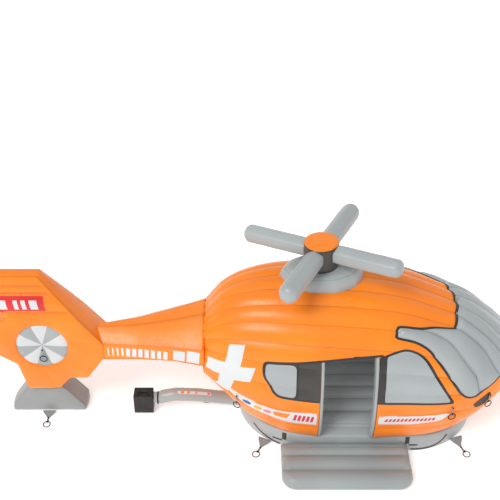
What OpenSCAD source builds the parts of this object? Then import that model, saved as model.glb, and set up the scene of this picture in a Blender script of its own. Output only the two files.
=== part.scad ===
// Inflatable play helicopter: a walk-in cabin on a floor mattress, with a tail boom on its own foot,
// a four-armed rotor, an entrance mat, anchor rings and the blower that keeps it inflated.
// Millimetres. X runs to the nose, Y away from the entrance, Z up. The origin is on the ground
// under the middle of the floor mattress.

/* [Cabin] */
// Width of the cabin over its side walls
cabin_w = 3000; // [2850:50:3100]
// Thickness of the wall and roof chambers
wall_t = 200; // [170:10:210]
// Height of the floor mattress
floor_h = 390; // [350:10:390]
// Extra height of the jumping floor inside the walls
floor_pad_h = 50; // [20:10:50]
// Clear width of the doorway
door_w = 890; // [800:10:900]
// Middle of the doorway, measured from the origin
door_x = -355; // [-400:5:-330]
// Width of each inflated door post
door_post_w = 100; // [60:10:120]

/* [Entrance mat] */
// Width of the mat along the cabin
mat_w = 2300; // [1800:20:2400]
// Depth of the mat
mat_depth = 930; // [800:10:1200]
// Thickness of the mat
mat_h = 280; // [200:10:300]
// Radius of the mat's outer corners
mat_corner_r = 260; // [100:10:300]

/* [Rotor] */
// Radius from the rotor axis to the end of an arm
rotor_r = 1500; // [1200:10:1600]
// Diameter of an inflated rotor arm
arm_d = 360; // [300:10:400]
// Radius of the hub at its top
hub_r = 305; // [280:5:320]
// Angle of the first arm from the X axis
arm_angle = -27; // [-90:1:0]
// Lean of the rotor towards the tail, in degrees
rotor_lean = 2.5; // [0:0.5:4]

/* [Tail] */
// Thickness of the tail ring chamber
tail_ring_t = 700; // [600:10:700]
// Radius of the fan disc in the tail ring
fan_disc_r = 480; // [400:10:490]
// Width of the tail foot across the object
foot_w = 540; // [400:10:600]

/* [Anchors] */
// Radius of an anchor ring at the middle of its wire
ring_r = 66; // [50:1:70]
// Radius of the ring's wire
ring_wire_r = 8; // [6:0.5:8]

/* [Blower] */
// Length of the blower casing, towards the nozzle
blower_l = 370; // [360:5:380]
// Width of the blower casing
blower_w = 256; // [250:1:260]
// Height of the blower casing
blower_h = 420; // [410:5:430]
// Wall thickness of the casing
casing_wall = 5; // [4:0.5:6]
// Radius of the fan wheel
fan_r = 125; // [100:5:130]
// Number of blades on the fan wheel
fan_blades = 18; // [12:1:24]

/* [Hidden] */

// Colours of the coated fabric and the hardware
orange = "#FF8A1E";
grey = "#AAB0B0";
dark = "#3F3B38";
white = "#F0F2F3";
black = "#1B1B1D";
steel = "#8C9094";

// Gap between two chambers that are sewn side by side
gap = 1;

// Hull stations: x, half width, top, waist height, bottom, half width at the bottom
stations = [
    [-2950,  730, 2380, 1580, 1180,  420],
    [-2600, 1000, 2800, 1380,  930,  540],
    [-2100, 1240, 3050, 1200,  480,  800],
    [-1400, 1420, 3150, 1120,  400, 1220],
    [ -400, 1500, 3130, 1080,  420, 1360],
    [  600, 1500, 2980, 1080,  420, 1360],
    [ 1400, 1440, 2670, 1080,  440, 1240],
    [ 2000, 1280, 2370, 1140,  580,  920],
    [ 2450, 1040, 1995, 1380,  965,  560],
    [ 2750,  720, 1690, 1460, 1210,  320],
    [ 2900,  360, 1570, 1510, 1360,  140]
];
width_k = cabin_w / 3000;
waist_s = 0.2;     // share of the way round at which the waist lies
sill_s = 0.25;     // lower edge of the windscreen
eave_s = 0.315;    // where walls end and the roof begins
round_k = 2 / 2.2; // 1 would be an ellipse, less is squarer
tail_x = stations[0][0];
nose_x = stations[len(stations) - 1][0];
screen_x = 1650;   // rear edge of the windscreen
plug_x = 2300;     // from here on the nose is solid chambers
door_x0 = door_x - door_w / 2;
door_x1 = door_x + door_w / 2;

// Floor mattress outline: straight sides with half-ellipse ends
mat_half_w = 1300;
floor_straight = 900;
floor_rear = 1420;
floor_front = 1320;

// Tail
tail_y = tail_ring_t / 2;
ring_profile = [
    [-4820, 1750], [-5270, 2340], [-6560, 2340], [-7050, 1980], [-7050, 1680], [-6470, 1270],
    [-6340, 660], [-5750, 660], [-5520, 930], [-5180, 930], [-4830, 1430]
];
fin_base = [[-6558, 2341], [-5272, 2341]];
fin_top = [[-7150, 3170], [-5890, 3170]];
fin_base_t = 620;
fin_top_t = 300;
fan_x = -5950;
fan_z = 1730;
fan_recess = 40;
// Boom stations: x, half width, side bottom, side top, keel half width, keel height, top half width, top
boom_stations = [
    [-5100, 250, 1330, 1740, 100, 1220,  50, 1930],
    [-4200, 420, 1490, 1840, 190, 1290, 110, 2060],
    [-3500, 600, 1600, 1940, 260, 1370, 180, 2235],
    [-2992, 730, 1600, 1990, 300, 1380, 230, 2385]
];

// Rotor
rotor_x = -830;
plinth_top = 3360;
plinth_clear = 6;  // gap between the plinth and the roof
plinth_k = 0.66;    // width of the plinth as a share of its length
plinth_rim_r = 745; // its rim lies over the roof by as much as it reaches past this radius
hub_low_r = hub_r - 12;
hub_top = 3830;
arm_z = 3620;
arm_end_r = 120;
// Plinth profile: radius and height, from the flat top down to the rim
plinth_profile = [[300, 3360], [520, 3352], [640, 3310], [720, 3230], [760, 3120], [755, 3040]];

// Anchors that lie on the ground: strap root x, y and ring centre x, y
ground_anchors = [
    [-1815, -1045, -1990, -1400], [-1815, 1045, -1990, 1400],
    [ 1790, -1005,  1930, -1400], [ 1790, 1005,  1930, 1400],
    [-6030,  -300, -6030,  -640], [-6030,  300, -6030,  640]
];
// Anchors that hang on the hull: rivet x, y, z, the direction that the surface faces, and where
// the rivet starts along it
hull_anchors = [
    [-2330, -1142, 1262, -116, 6], [-2330, 1142, 1262, 116, 6],
    [ 1510, -1416, 1240,  -79, 6], [ 1510, 1416, 1240,  79, 6],
    [ 2185, -1201, 1350,  -66, 1], [fan_x, -tail_y + 10, 1660, -90, 6], [fan_x, tail_y - 10, 1660, 90, 6]
];
strap_w = 40;
strap_t = 3;
strap_z = 2;
eye_r = 16;
eye_wire_r = 5;
eye_out = eye_r + eye_wire_r;
ground_eye_z = strap_z + strap_t + eye_out;
ring_tilt = asin((ground_eye_z - ring_wire_r) / (2 * ring_r));
tab_out = 28;
tab_w = 20;
tab_drop = 120;
rivet_r = 14;

// Blower
blower_x1 = -3990;
blower_x0 = blower_x1 - blower_l;
blower_y0 = -330;
blower_y1 = blower_y0 + blower_w;
blower_z0 = 20;
blower_top = blower_z0 + blower_h;
nozzle_y = -200;
nozzle_z = 310;
nozzle_r = 105;
nozzle_wall = 6;
nozzle_x1 = -3895;
fan_axis_x = -4190;
fan_axis_z = 215;
fan_y0 = -160;
fan_w = 68;
shaft_r = 8;
flap_x = -3935;
flap_pin_z = nozzle_z + 84;
flap_pin_r = 3;
switch_y = -240;
inlet_y = -150;
panel_z = 330;
cover_t = 5;
cover_y = blower_y1 + 0.5;
handle_w = 200;
handle_reach = 90;
handle_r = 6;
handle_z = blower_top + 16;
// Centre line of the inlet sleeve: x, y, z, radius
sleeve_path = [
    [-3978, -200, 310, 109], [-3870, -200, 310, 109], [-3830, -200, 325, 127], [-3560, -192, 385, 129],
    [-3100, -165, 335, 130], [-2700, -140, 260, 130], [-2335, -120, 200, 130]
];
sleeve_wall = 3;

// ---- functions ----
function span_at(x, i = 0) = (i >= len(stations) - 2 || x < stations[i + 1][0]) ? i : span_at(x, i + 1);
function slope(k, c) =
    let (a = max(k - 1, 0), b = min(k + 1, len(stations) - 1))
    (stations[b][c] - stations[a][c]) / (stations[b][0] - stations[a][0]);
// Smooth curve through column c of the stations
function station(x, c) =
    let (i = span_at(x), h = stations[i + 1][0] - stations[i][0], t = (x - stations[i][0]) / h)
    (2 * t^3 - 3 * t^2 + 1) * stations[i][c] + (t^3 - 2 * t^2 + t) * h * slope(i, c)
    + (3 * t^2 - 2 * t^3) * stations[i + 1][c] + (t^3 - t^2) * h * slope(i + 1, c);
// Point on the hull at x, a share s of the way from the near bottom edge over the roof to the far one
function hull_point(x, s, inset = 0) =
    let (
        q = min(s, 1 - s),
        side = s <= 0.5 ? -1 : 1,
        w = station(x, 1) * width_k - inset,
        top = station(x, 2) - inset,
        waist = station(x, 3),
        low = station(x, 4),
        low_w = station(x, 5) * width_k - inset,
        t = q / waist_s,
        a = 90 * (q - waist_s) / (0.5 - waist_s)
    )
    q < waist_s
        ? [x, side * (w - (w - low_w) * (1 - t)^2), low + (waist - low) * t]
        : [x, side * w * max(cos(a), 0)^round_k, waist + (top - waist) * max(sin(a), 0)^round_k];
function roof_height(x, y) =
    let (w = station(x, 1) * width_k, waist = station(x, 3), top = station(x, 2))
    waist + (top - waist) * (1 - (abs(y) / w)^(2 / round_k))^(round_k / 2);
function mix(a, b, t) = a + (b - a) * t;
function floor_end(a, sign, k) =
    [for (i = [0:32]) let (t = 90 - i * 180 / 32) [sign * (floor_straight + a * k * cos(t)), sign * mat_half_w * k * sin(t)]];

// ---- building blocks ----
// Solid through a list of rings with the same number of points; the ends are closed with fans
module loft(rings) {
    n = len(rings[0]);
    m = len(rings);
    points = [for (r = rings) for (p = r) p];
    sides = [for (i = [0:m - 2]) for (j = [0:n - 1])
        let (k = (j + 1) % n, a = i * n + j, b = a + n, c = (i + 1) * n + k, d = i * n + k)
        each [[a, d, c], [a, c, b]]];
    caps = [for (j = [1:n - 2]) each [[0, j + 1, j], [(m - 1) * n, (m - 1) * n + j, (m - 1) * n + j + 1]]];
    polyhedron(points = points, faces = concat(sides, caps));
}

// Curved slab that follows the hull between x0 and x1 and between shares s0 and s1
module hull_slab(x0, x1, s0, s1, nx, ns, outer = 0, inner = wall_t) {
    function at(i, j) = i * (ns + 1) + j;
    count = (nx + 1) * (ns + 1);
    points = [for (inset = [outer, inner]) for (i = [0:nx]) for (j = [0:ns])
        hull_point(mix(x0, x1, i / nx), mix(s0, s1, j / ns), inset)];
    skins = [for (i = [0:nx - 1]) for (j = [0:ns - 1])
        let (a = at(i, j), b = at(i + 1, j), c = at(i + 1, j + 1), d = at(i, j + 1), o = count)
        each [[a, d, c], [a, c, b], [o + a, o + c, o + d], [o + a, o + b, o + c]]];
    long_edges = [for (i = [0:nx - 1])
        let (a = at(i, 0), b = at(i + 1, 0), c = at(i + 1, ns), d = at(i, ns), o = count)
        each [[a, b, o + b], [a, o + b, o + a], [c, d, o + d], [c, o + d, o + c]]];
    cross_edges = [for (j = [0:ns - 1])
        let (a = at(0, j), d = at(0, j + 1), b = at(nx, j), c = at(nx, j + 1), o = count)
        each [[d, a, o + a], [d, o + a, o + d], [b, c, o + c], [b, o + c, o + b]]];
    polyhedron(points = points, faces = concat(skins, long_edges, cross_edges));
}

// Tube with a round section along a path of [x, y, z, radius]
module pipe(path, wall, sides = 32) {
    m = len(path);
    function around(r, p) = [for (j = [0:sides - 1]) [p[0], p[1] - r * cos(j * 360 / sides), p[2] + r * sin(j * 360 / sides)]];
    points = concat([for (p = path) each around(p[3], p)], [for (p = path) each around(p[3] - wall, p)]);
    o = m * sides;
    walls = [for (i = [0:m - 2]) for (j = [0:sides - 1])
        let (k = (j + 1) % sides, a = i * sides + j, b = a + sides, c = (i + 1) * sides + k, d = i * sides + k)
        each [[a, d, c], [a, c, b], [o + a, o + c, o + d], [o + a, o + b, o + c]]];
    ends = [for (j = [0:sides - 1])
        let (k = (j + 1) % sides, q = (m - 1) * sides)
        each [[k, j, o + j], [k, o + j, o + k], [q + j, q + k, o + q + k], [q + j, o + q + k, o + q + j]]];
    polyhedron(points = points, faces = concat(walls, ends));
}

module torus(r, wire) {
    rotate_extrude($fn = 64) translate([r, 0]) circle(r = wire, $fn = 32);
}

// Cylinder along X from x0 to x1
module rod_x(x0, x1, r) {
    translate([x0, 0, 0]) rotate([0, 90, 0]) cylinder(r = r, h = x1 - x0, $fn = 64);
}

// Cylinder along Y from y0 to y1
module rod_y(y0, y1, r) {
    translate([0, y1, 0]) rotate([90, 0, 0]) cylinder(r = r, h = y1 - y0, $fn = 64);
}

module floor_outline(k) {
    polygon(concat(floor_end(floor_front, 1, k), floor_end(floor_rear, -1, k)));
}

// Nose chamber closed across: the upper one above the windscreen's edge, the lower one below it
module nose_chamber(s_list, x0, x1) {
    steps = 8;
    loft([for (i = [0:steps]) [for (s = s_list) hull_point(mix(x0, x1, i / steps), s)]]);
}

module tail_profile(grow = 0) {
    translate([0, tail_y + grow, 0]) rotate([90, 0, 0])
        linear_extrude(height = tail_ring_t + 2 * grow) polygon(ring_profile);
}

// Places its children with Z along the leaning rotor axis and the origin in the top of the plinth
module at_rotor() {
    translate([rotor_x, 0, plinth_top]) rotate([0, -rotor_lean, 0]) children();
}

module hub_cone(grow = 0) {
    translate([0, 0, 2 - grow])
        cylinder(r1 = hub_low_r + grow, r2 = hub_r + grow, h = hub_top - plinth_top - 2 + 2 * grow, $fn = 96);
}

// Places its children at ground anchor i, with X along the strap and the origin under the eye
module at_ground_anchor(i) {
    a = ground_anchors[i];
    heading = atan2(a[3] - a[1], a[2] - a[0]);
    reach = ring_r * cos(ring_tilt);
    translate([a[2] - reach * cos(heading), a[3] - reach * sin(heading), 0]) rotate([0, 0, heading]) children();
}

// Places its children at hull anchor i, with X out of the surface
module at_hull_anchor(i) {
    a = hull_anchors[i];
    translate([a[0], a[1], a[2]]) rotate([0, 0, a[3]]) children();
}

module eye() {
    rotate([90, 0, 0]) torus(eye_r, eye_wire_r);
}

module ground_ring(i) {
    color(steel) at_ground_anchor(i) translate([0, 0, ground_eye_z]) rotate([0, ring_tilt, 0])
        translate([ring_r, 0, 0]) torus(ring_r, ring_wire_r);
}

module hull_ring(i) {
    color(steel) at_hull_anchor(i) translate([tab_out, 0, -tab_drop - eye_out - ring_r])
        rotate([0, 90, 0]) torus(ring_r, ring_wire_r);
}

// ---- inflated chambers ----
module floor_mattress() {
    color(grey) {
        linear_extrude(height = floor_h) floor_outline(1);
        translate([0, 0, floor_h - 1]) linear_extrude(height = floor_pad_h + 1) floor_outline(0.83);
    }
}

module entrance_mat() {
    x0 = door_x - mat_w / 2;
    y0 = -mat_half_w - 2;
    r = mat_corner_r;
    color(grey) linear_extrude(height = mat_h) difference() {
        translate([x0, y0 - mat_depth]) square([mat_w, mat_depth]);
        for (side = [0, 1]) translate([x0 + side * mat_w, y0 - mat_depth]) difference() {
            square(2 * r, center = true);
            translate([(1 - 2 * side) * r, r]) circle(r = r, $fn = 96);
        }
    }
}

module belly_panels() {
    thick = 150;
    color(orange) for (run = [[tail_x + 10, -1960], [1540, plug_x - gap]])
        loft([for (i = [0:8])
            let (
                x = mix(run[0], run[1], i / 8),
                w = station(x, 5) * width_k - wall_t - 8,
                z = max(station(x, 4), floor_h + floor_pad_h) + gap
            )
            [[x, -w, z], [x, -w, z + thick], [x, w, z + thick], [x, w, z]]]);
}

module wall_near_rear() {
    color(orange) hull_slab(tail_x, door_x0 - door_post_w - gap, 0, eave_s, 14, 12);
}

module wall_near_front() {
    color(orange) hull_slab(door_x1 + door_post_w + gap, screen_x, 0, eave_s, 12, 12);
}

module wall_far() {
    color(orange) hull_slab(tail_x, screen_x, 1 - eave_s, 1, 24, 12);
}

module nose_walls() {
    color(orange) {
        hull_slab(screen_x + gap, plug_x - gap, 0, sill_s, 6, 10);
        hull_slab(screen_x + gap, plug_x - gap, 1 - sill_s, 1, 6, 10);
    }
}

module door_post_rear() {
    color(grey) hull_slab(door_x0 - door_post_w, door_x0, 0, eave_s, 2, 12);
}

module door_post_front() {
    color(grey) hull_slab(door_x1, door_x1 + door_post_w, 0, eave_s, 2, 12);
}

module roof_rear() {
    color(orange) hull_slab(tail_x, rotor_x, eave_s + 0.001, 1 - eave_s - 0.001, 14, 20);
}

module roof_front() {
    color(orange) hull_slab(rotor_x + gap, screen_x, eave_s + 0.001, 1 - eave_s - 0.001, 14, 20);
}

module windscreen_top() {
    color(grey) hull_slab(screen_x + gap, plug_x - gap, sill_s + 0.001, 1 - sill_s - 0.001, 6, 24);
}

module windscreen_nose() {
    shares = [for (j = [0:24]) mix(sill_s + 0.001, 1 - sill_s - 0.001, j / 24)];
    color(grey) nose_chamber(shares, plug_x, nose_x);
}

module nose_cushion() {
    near = [for (j = [0:8]) mix(0, sill_s, j / 8)];
    far = [for (j = [0:8]) mix(1 - sill_s, 1, j / 8)];
    color(orange) nose_chamber(concat(near, far), plug_x, nose_x);
}

module tail_bulkhead() {
    shares = [for (j = [0:40]) j / 40];
    color(orange) loft([for (x = [0, 1]) [for (s = shares)
        let (p = hull_point(tail_x, s)) [tail_x - 41 + x * 40, p[1], p[2]]]]);
}

module tail_boom() {
    color(orange) difference() {
        loft([for (b = boom_stations) [
            [b[0], -b[4], b[5]], [b[0], -b[1], b[2]], [b[0], -b[1], b[3]], [b[0], -b[6], b[7]],
            [b[0], b[6], b[7]], [b[0], b[1], b[3]], [b[0], b[1], b[2]], [b[0], b[4], b[5]]
        ]]);
        translate([1, 0, 0]) tail_profile(1);
    }
}

module tail_ring() {
    color(orange) difference() {
        tail_profile();
        for (side = [-1, 1]) translate([fan_x, 0, fan_z])
            rod_y(side * tail_y - fan_recess, side * tail_y + fan_recess, fan_disc_r);
    }
}

module tail_fin() {
    function slab(edge, t) = [[edge[0][0], -t / 2, edge[0][1]], [edge[1][0], -t / 2, edge[1][1]],
        [edge[1][0], t / 2, edge[1][1]], [edge[0][0], t / 2, edge[0][1]]];
    color(orange) polyhedron(
        points = concat(slab(fin_base, fin_base_t), slab(fin_top, fin_top_t)),
        faces = [[0, 1, 2, 3], [4, 7, 6, 5], [0, 4, 5, 1], [1, 5, 6, 2], [2, 6, 7, 3], [3, 7, 4, 0]]
    );
}

module tail_foot() {
    color(grey) translate([0, foot_w / 2, 0]) rotate([90, 0, 0]) linear_extrude(height = foot_w)
        polygon([[-6740, 0], [-6740, 110], [-6345, 658], [-5745, 658], [-5330, 110], [-5330, 0]]);
}

module fan_discs() {
    color(white) for (side = [-1, 1]) translate([fan_x, 0, fan_z])
        rod_y(side * (tail_y - fan_recess / 2) - 14, side * (tail_y - fan_recess / 2) + 14, fan_disc_r - 1);
}

module rotor_plinth() {
    turns = [for (j = [0:47]) j * 7.5];
    // Point at radius r and turn t, at height z on the lean or just over the roof where that is higher
    function at(r, t, z, over) =
        let (x = rotor_x + r * cos(t), y = plinth_k * r * sin(t), lean = r * cos(t) * tan(rotor_lean))
        [x, y, max(z + lean, roof_height(x, y) + over)];
    upper = [for (p = plinth_profile) [for (t = turns) at(p[0], t, p[1], p[0] - plinth_rim_r)]];
    lower = [for (r = [735, 600, 450, 300, 150, 10]) [for (t = turns) at(r, t, 0, plinth_clear)]];
    color(grey) loft(concat(upper, lower));
}

module rotor_hub() {
    color(dark) at_rotor() hub_cone();
}

module rotor_cap() {
    color(orange) at_rotor() translate([0, 0, hub_top - plinth_top + 0.5])
        cylinder(r = hub_r - 5, h = 14, $fn = 96);
}

module rotor_arm(k) {
    length = rotor_r - hub_low_r + 20;
    r = arm_d / 2;
    color(grey) at_rotor() difference() {
        translate([0, 0, arm_z - plinth_top]) rotate([0, 0, arm_angle + 90 * k]) translate([hub_low_r - 20, 0, 0])
            rotate([0, 90, 0]) rotate_extrude($fn = 64) intersection() {
                union() {
                    square([r, length - arm_end_r]);
                    square([r - arm_end_r, length]);
                    translate([r - arm_end_r, length - arm_end_r]) circle(r = arm_end_r, $fn = 64);
                }
                square([r, length]);
            }
        hub_cone(1);
    }
}

module deflation_flap() {
    color(black) hull_slab(1800, 2070, 0.202, 0.24, 6, 3, -14, -4);
}

// ---- anchors ----
module anchor_straps() {
    color(grey) {
        for (i = [0:len(ground_anchors) - 1]) {
            a = ground_anchors[i];
            reach = norm([a[2] - a[0], a[3] - a[1]]) - ring_r;
            at_ground_anchor(i) translate([-reach, -strap_w / 2, strap_z]) cube([reach + eye_out, strap_w, strap_t]);
        }
        for (i = [0:len(hull_anchors) - 1]) at_hull_anchor(i)
            translate([tab_out - strap_t / 2, -tab_w / 2, -tab_drop]) cube([strap_t, tab_w, tab_drop + tab_w]);
    }
}

module anchor_hardware() {
    color(black) {
        for (i = [0:len(ground_anchors) - 1]) at_ground_anchor(i) {
            translate([0, 0, ground_eye_z]) eye();
            translate([-120, 0, strap_z + strap_t]) cylinder(r = rivet_r, h = 8, $fn = 48);
        }
        for (i = [0:len(hull_anchors) - 1]) at_hull_anchor(i) {
            translate([tab_out, 0, -tab_drop - eye_out]) eye();
            rod_x(hull_anchors[i][4], tab_out - strap_t / 2, rivet_r - 4);
            rod_x(tab_out + strap_t / 2, tab_out + 9, rivet_r);
        }
    }
}

module ring_floor_rear_near() ground_ring(0);
module ring_floor_rear_far() ground_ring(1);
module ring_floor_front_near() ground_ring(2);
module ring_floor_front_far() ground_ring(3);
module ring_foot_near() ground_ring(4);
module ring_foot_far() ground_ring(5);
module ring_hull_rear_near() hull_ring(0);
module ring_hull_rear_far() hull_ring(1);
module ring_hull_front_near() hull_ring(2);
module ring_hull_front_far() hull_ring(3);
module ring_nose() hull_ring(4);
module ring_tail_near() hull_ring(5);
module ring_tail_far() hull_ring(6);

// ---- air supply ----
module inlet_sleeve() {
    color(grey) pipe(sleeve_path, sleeve_wall);
}

module sleeve_strap() {
    color(black) translate([0, nozzle_y, nozzle_z]) difference() {
        rod_x(-3905, -3880, 115);
        rod_x(-3906, -3879, 110.8);
    }
}

module blower_casing() {
    w = casing_wall;
    color(black) difference() {
        translate([blower_x0, blower_y0, blower_z0]) cube([blower_l, blower_w, blower_h]);
        translate([blower_x0 + w, blower_y0 + w, blower_z0 + w])
            cube([blower_l - 2 * w, blower_w, blower_h - 2 * w]);
        translate([0, nozzle_y, nozzle_z]) rod_x(blower_x1 - 20, blower_x1 + 20, nozzle_r - nozzle_wall);
        translate([blower_x0 - 1, switch_y - 11, panel_z - 16]) cube([w + 2, 22, 32]);
        translate([blower_x0 - 1, inlet_y - 14, panel_z - 10]) cube([w + 2, 28, 20]);
    }
    // Ears that hold the folding handle
    color(black) for (side = [-1, 1])
        translate([(blower_x0 + blower_x1) / 2 + side * (handle_w / 2 + 9) - 5, blower_y0 + 30, blower_top - 1]) difference() {
            cube([10, 30, 30]);
            translate([-1, 15, handle_z - blower_top + 1]) rod_x(0, 12, handle_r + 0.05);
        }
}

module carry_handle() {
    mid_x = (blower_x0 + blower_x1) / 2;
    y = blower_y0 + 45;
    half = handle_w / 2;
    color(black) {
        for (side = [-1, 1]) {
            translate([mid_x, y, handle_z]) rod_x(side * (half + 3) - 11, side * (half + 3) + 11, handle_r);
            translate([mid_x + side * (half - 3), 0, handle_z]) rod_y(y, y + handle_reach, handle_r);
        }
        translate([mid_x, y + handle_reach, handle_z]) {
            rod_x(-half, half, handle_r);
            rod_x(-half + 30, half - 30, handle_r + 6);
        }
    }
}

module intake_cover() {
    color(black) difference() {
        translate([blower_x0, cover_y, blower_z0]) cube([blower_l, cover_t, blower_h]);
        translate([fan_axis_x, 0, fan_axis_z]) rod_y(cover_y - 1, cover_y + cover_t + 1, 82);
        for (cx = [blower_x0 + 15, blower_x1 - 15]) for (cz = [blower_z0 + 15, blower_top - 15])
            translate([cx, 0, cz]) rod_y(cover_y - 1, cover_y + cover_t + 1, 2.6);
    }
}

module intake_grille() {
    y0 = cover_y + cover_t + 0.3;
    color(steel) translate([fan_axis_x, 0, fan_axis_z]) {
        for (r = [95, 64, 34]) difference() {
            rod_y(y0, y0 + 4, r);
            rod_y(y0 - 1, y0 + 5, r - 6);
        }
        for (turn = [0:45:135]) rotate([0, turn, 0]) translate([-92, y0, -2]) cube([184, 4, 4]);
    }
}

module cover_screws() {
    y0 = cover_y + cover_t + 0.2;
    color(steel) for (cx = [blower_x0 + 15, blower_x1 - 15]) for (cz = [blower_z0 + 15, blower_top - 15])
        translate([cx, 0, cz]) {
            rod_y(cover_y + 0.2, y0 + 1, 2.2);
            rod_y(y0, y0 + 4, 5);
        }
}

module outlet_nozzle() {
    color(black) translate([0, nozzle_y, nozzle_z]) difference() {
        union() {
            rod_x(blower_x1 + 0.3, nozzle_x1, nozzle_r);
            rod_x(blower_x1 + 0.3, blower_x1 + 5, nozzle_r + 12);
        }
        rod_x(blower_x1 - 5, nozzle_x1 + 5, nozzle_r - nozzle_wall);
        translate([flap_x, 0, flap_pin_z - nozzle_z]) rod_y(-62, 62, flap_pin_r);
    }
}

module flap_pin() {
    color(steel) translate([flap_x, nozzle_y, flap_pin_z]) rod_y(-56, 56, flap_pin_r);
}

module backdraft_flap() {
    color(dark) translate([flap_x, nozzle_y, 0]) difference() {
        union() {
            intersection() {
                translate([0, 0, nozzle_z]) rod_x(-1.5, 1.5, nozzle_r - nozzle_wall - 6);
                translate([-5, -120, 0]) cube([10, 240, flap_pin_z - 2]);
            }
            translate([0, 0, flap_pin_z]) rod_y(-38, 38, flap_pin_r + 3);
        }
        translate([0, 0, flap_pin_z]) rod_y(-60, 60, flap_pin_r + 0.08);
    }
}

module fan_impeller() {
    color(dark) translate([fan_axis_x, 0, fan_axis_z]) {
        difference() {
            union() {
                rod_y(fan_y0, fan_y0 + 3, fan_r);
                rod_y(fan_y0, fan_y0 + 30, 20);
            }
            rod_y(fan_y0 - 1, fan_y0 + 31, shaft_r);
        }
        difference() {
            rod_y(fan_y0 + fan_w - 3, fan_y0 + fan_w, fan_r);
            rod_y(fan_y0 + fan_w - 4, fan_y0 + fan_w + 1, fan_r - 42);
        }
        for (k = [0:fan_blades - 1]) rotate([0, k * 360 / fan_blades, 0])
            translate([fan_r - 42, fan_y0 + 2, -1.5]) cube([40, fan_w - 4, 3]);
    }
}

module motor_shaft() {
    color(steel) translate([fan_axis_x, 0, fan_axis_z]) rod_y(-250, fan_y0 + 34, shaft_r);
}

module fan_motor() {
    color(steel) translate([fan_axis_x, 0, fan_axis_z]) difference() {
        union() {
            rod_y(-312, -192, 62);
            rod_y(-192, -186, 30);
        }
        rod_y(-252, -180, shaft_r + 0.06);
    }
}

module motor_bracket() {
    w = casing_wall;
    color(steel) difference() {
        translate([blower_x0 + w + 0.5, -186, blower_z0 + w + 0.5]) cube([blower_l - 2 * w - 1, 4, 300]);
        translate([fan_axis_x, 0, fan_axis_z]) rod_y(-190, -180, shaft_r + 4);
        translate([0, nozzle_y, nozzle_z + 20]) rod_x(blower_x1 - 90, blower_x1, 60);
    }
}

module blower_feet() {
    color(black) for (cx = [blower_x0 + 35, blower_x1 - 35]) for (cy = [blower_y0 + 35, blower_y1 - 35])
        translate([cx, cy, 0]) cylinder(r1 = 15, r2 = 18, h = blower_z0 - 0.2, $fn = 48);
}

module power_switch() {
    color("red") translate([blower_x0 - 3, switch_y - 10, panel_z - 15]) cube([9, 20, 30]);
}

module power_inlet() {
    color(dark) difference() {
        union() {
            translate([blower_x0 - 3, inlet_y - 20, panel_z - 14]) cube([2.8, 40, 28]);
            translate([blower_x0 - 2, inlet_y - 13.5, panel_z - 9.5]) cube([32, 27, 19]);
        }
        translate([blower_x0 - 4, inlet_y - 11, panel_z - 7]) cube([26, 22, 14]);
    }
}

floor_mattress();
entrance_mat();
belly_panels();
wall_near_rear();
wall_near_front();
wall_far();
nose_walls();
door_post_rear();
door_post_front();
roof_rear();
roof_front();
windscreen_top();
windscreen_nose();
nose_cushion();
tail_bulkhead();
tail_boom();
tail_ring();
tail_fin();
tail_foot();
fan_discs();
rotor_plinth();
rotor_hub();
rotor_cap();
rotor_arm(0);  // rotor_arm_1
rotor_arm(1);  // rotor_arm_2
rotor_arm(2);  // rotor_arm_3
rotor_arm(3);  // rotor_arm_4
inlet_sleeve();
sleeve_strap();
deflation_flap();
anchor_straps();
anchor_hardware();
ring_floor_rear_near();
ring_floor_rear_far();
ring_floor_front_near();
ring_floor_front_far();
ring_foot_near();
ring_foot_far();
ring_hull_rear_near();
ring_hull_rear_far();
ring_hull_front_near();
ring_hull_front_far();
ring_nose();
ring_tail_near();
ring_tail_far();
blower_casing();
intake_cover();
intake_grille();
outlet_nozzle();
backdraft_flap();
flap_pin();
fan_impeller();
motor_shaft();
fan_motor();
motor_bracket();
blower_feet();
carry_handle();
power_switch();
power_inlet();
cover_screws();
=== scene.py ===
# Inflatable play helicopter: fabric skins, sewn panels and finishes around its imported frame.
# Metres. X runs to the nose, Y away from the entrance, Z up.
import math
from functools import lru_cache

import bmesh
import bpy
import numpy as np
from mathutils import Matrix, Vector, noise
from mathutils.geometry import delaunay_2d_cdt


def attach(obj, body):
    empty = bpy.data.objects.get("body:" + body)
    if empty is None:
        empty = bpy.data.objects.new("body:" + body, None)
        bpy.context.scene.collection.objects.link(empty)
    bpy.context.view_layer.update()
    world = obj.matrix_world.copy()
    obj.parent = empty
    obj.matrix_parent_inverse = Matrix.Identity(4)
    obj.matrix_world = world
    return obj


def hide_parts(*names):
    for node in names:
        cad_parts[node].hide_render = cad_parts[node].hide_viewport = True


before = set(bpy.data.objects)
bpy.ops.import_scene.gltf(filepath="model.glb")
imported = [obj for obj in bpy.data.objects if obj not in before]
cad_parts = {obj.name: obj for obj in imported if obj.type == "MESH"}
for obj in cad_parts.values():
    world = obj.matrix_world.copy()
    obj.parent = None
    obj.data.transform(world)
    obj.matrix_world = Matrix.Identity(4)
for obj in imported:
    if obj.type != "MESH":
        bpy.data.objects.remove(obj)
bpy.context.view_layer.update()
print("frame: loaded", len(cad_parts), "nodes")


def toLinear(hexColour):
    channels = [int(hexColour[k:k + 2], 16) / 255 for k in (1, 3, 5)]
    return tuple(c / 12.92 if c <= 0.04045 else ((c + 0.055) / 1.055) ** 2.4 for c in channels) + (1.0,)


def addNode(tree, kind, settings=None, links=None):
    node = tree.nodes.new(kind)
    for key, value in (settings or {}).items():
        if isinstance(key, int) or key in node.inputs:
            node.inputs[key].default_value = value
        else:
            setattr(node, key, value)
    for key, source in (links or {}).items():
        tree.links.new(source, node.inputs[key])
    return node


def blend(a, b, t):
    return a + (b - a) * t


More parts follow.
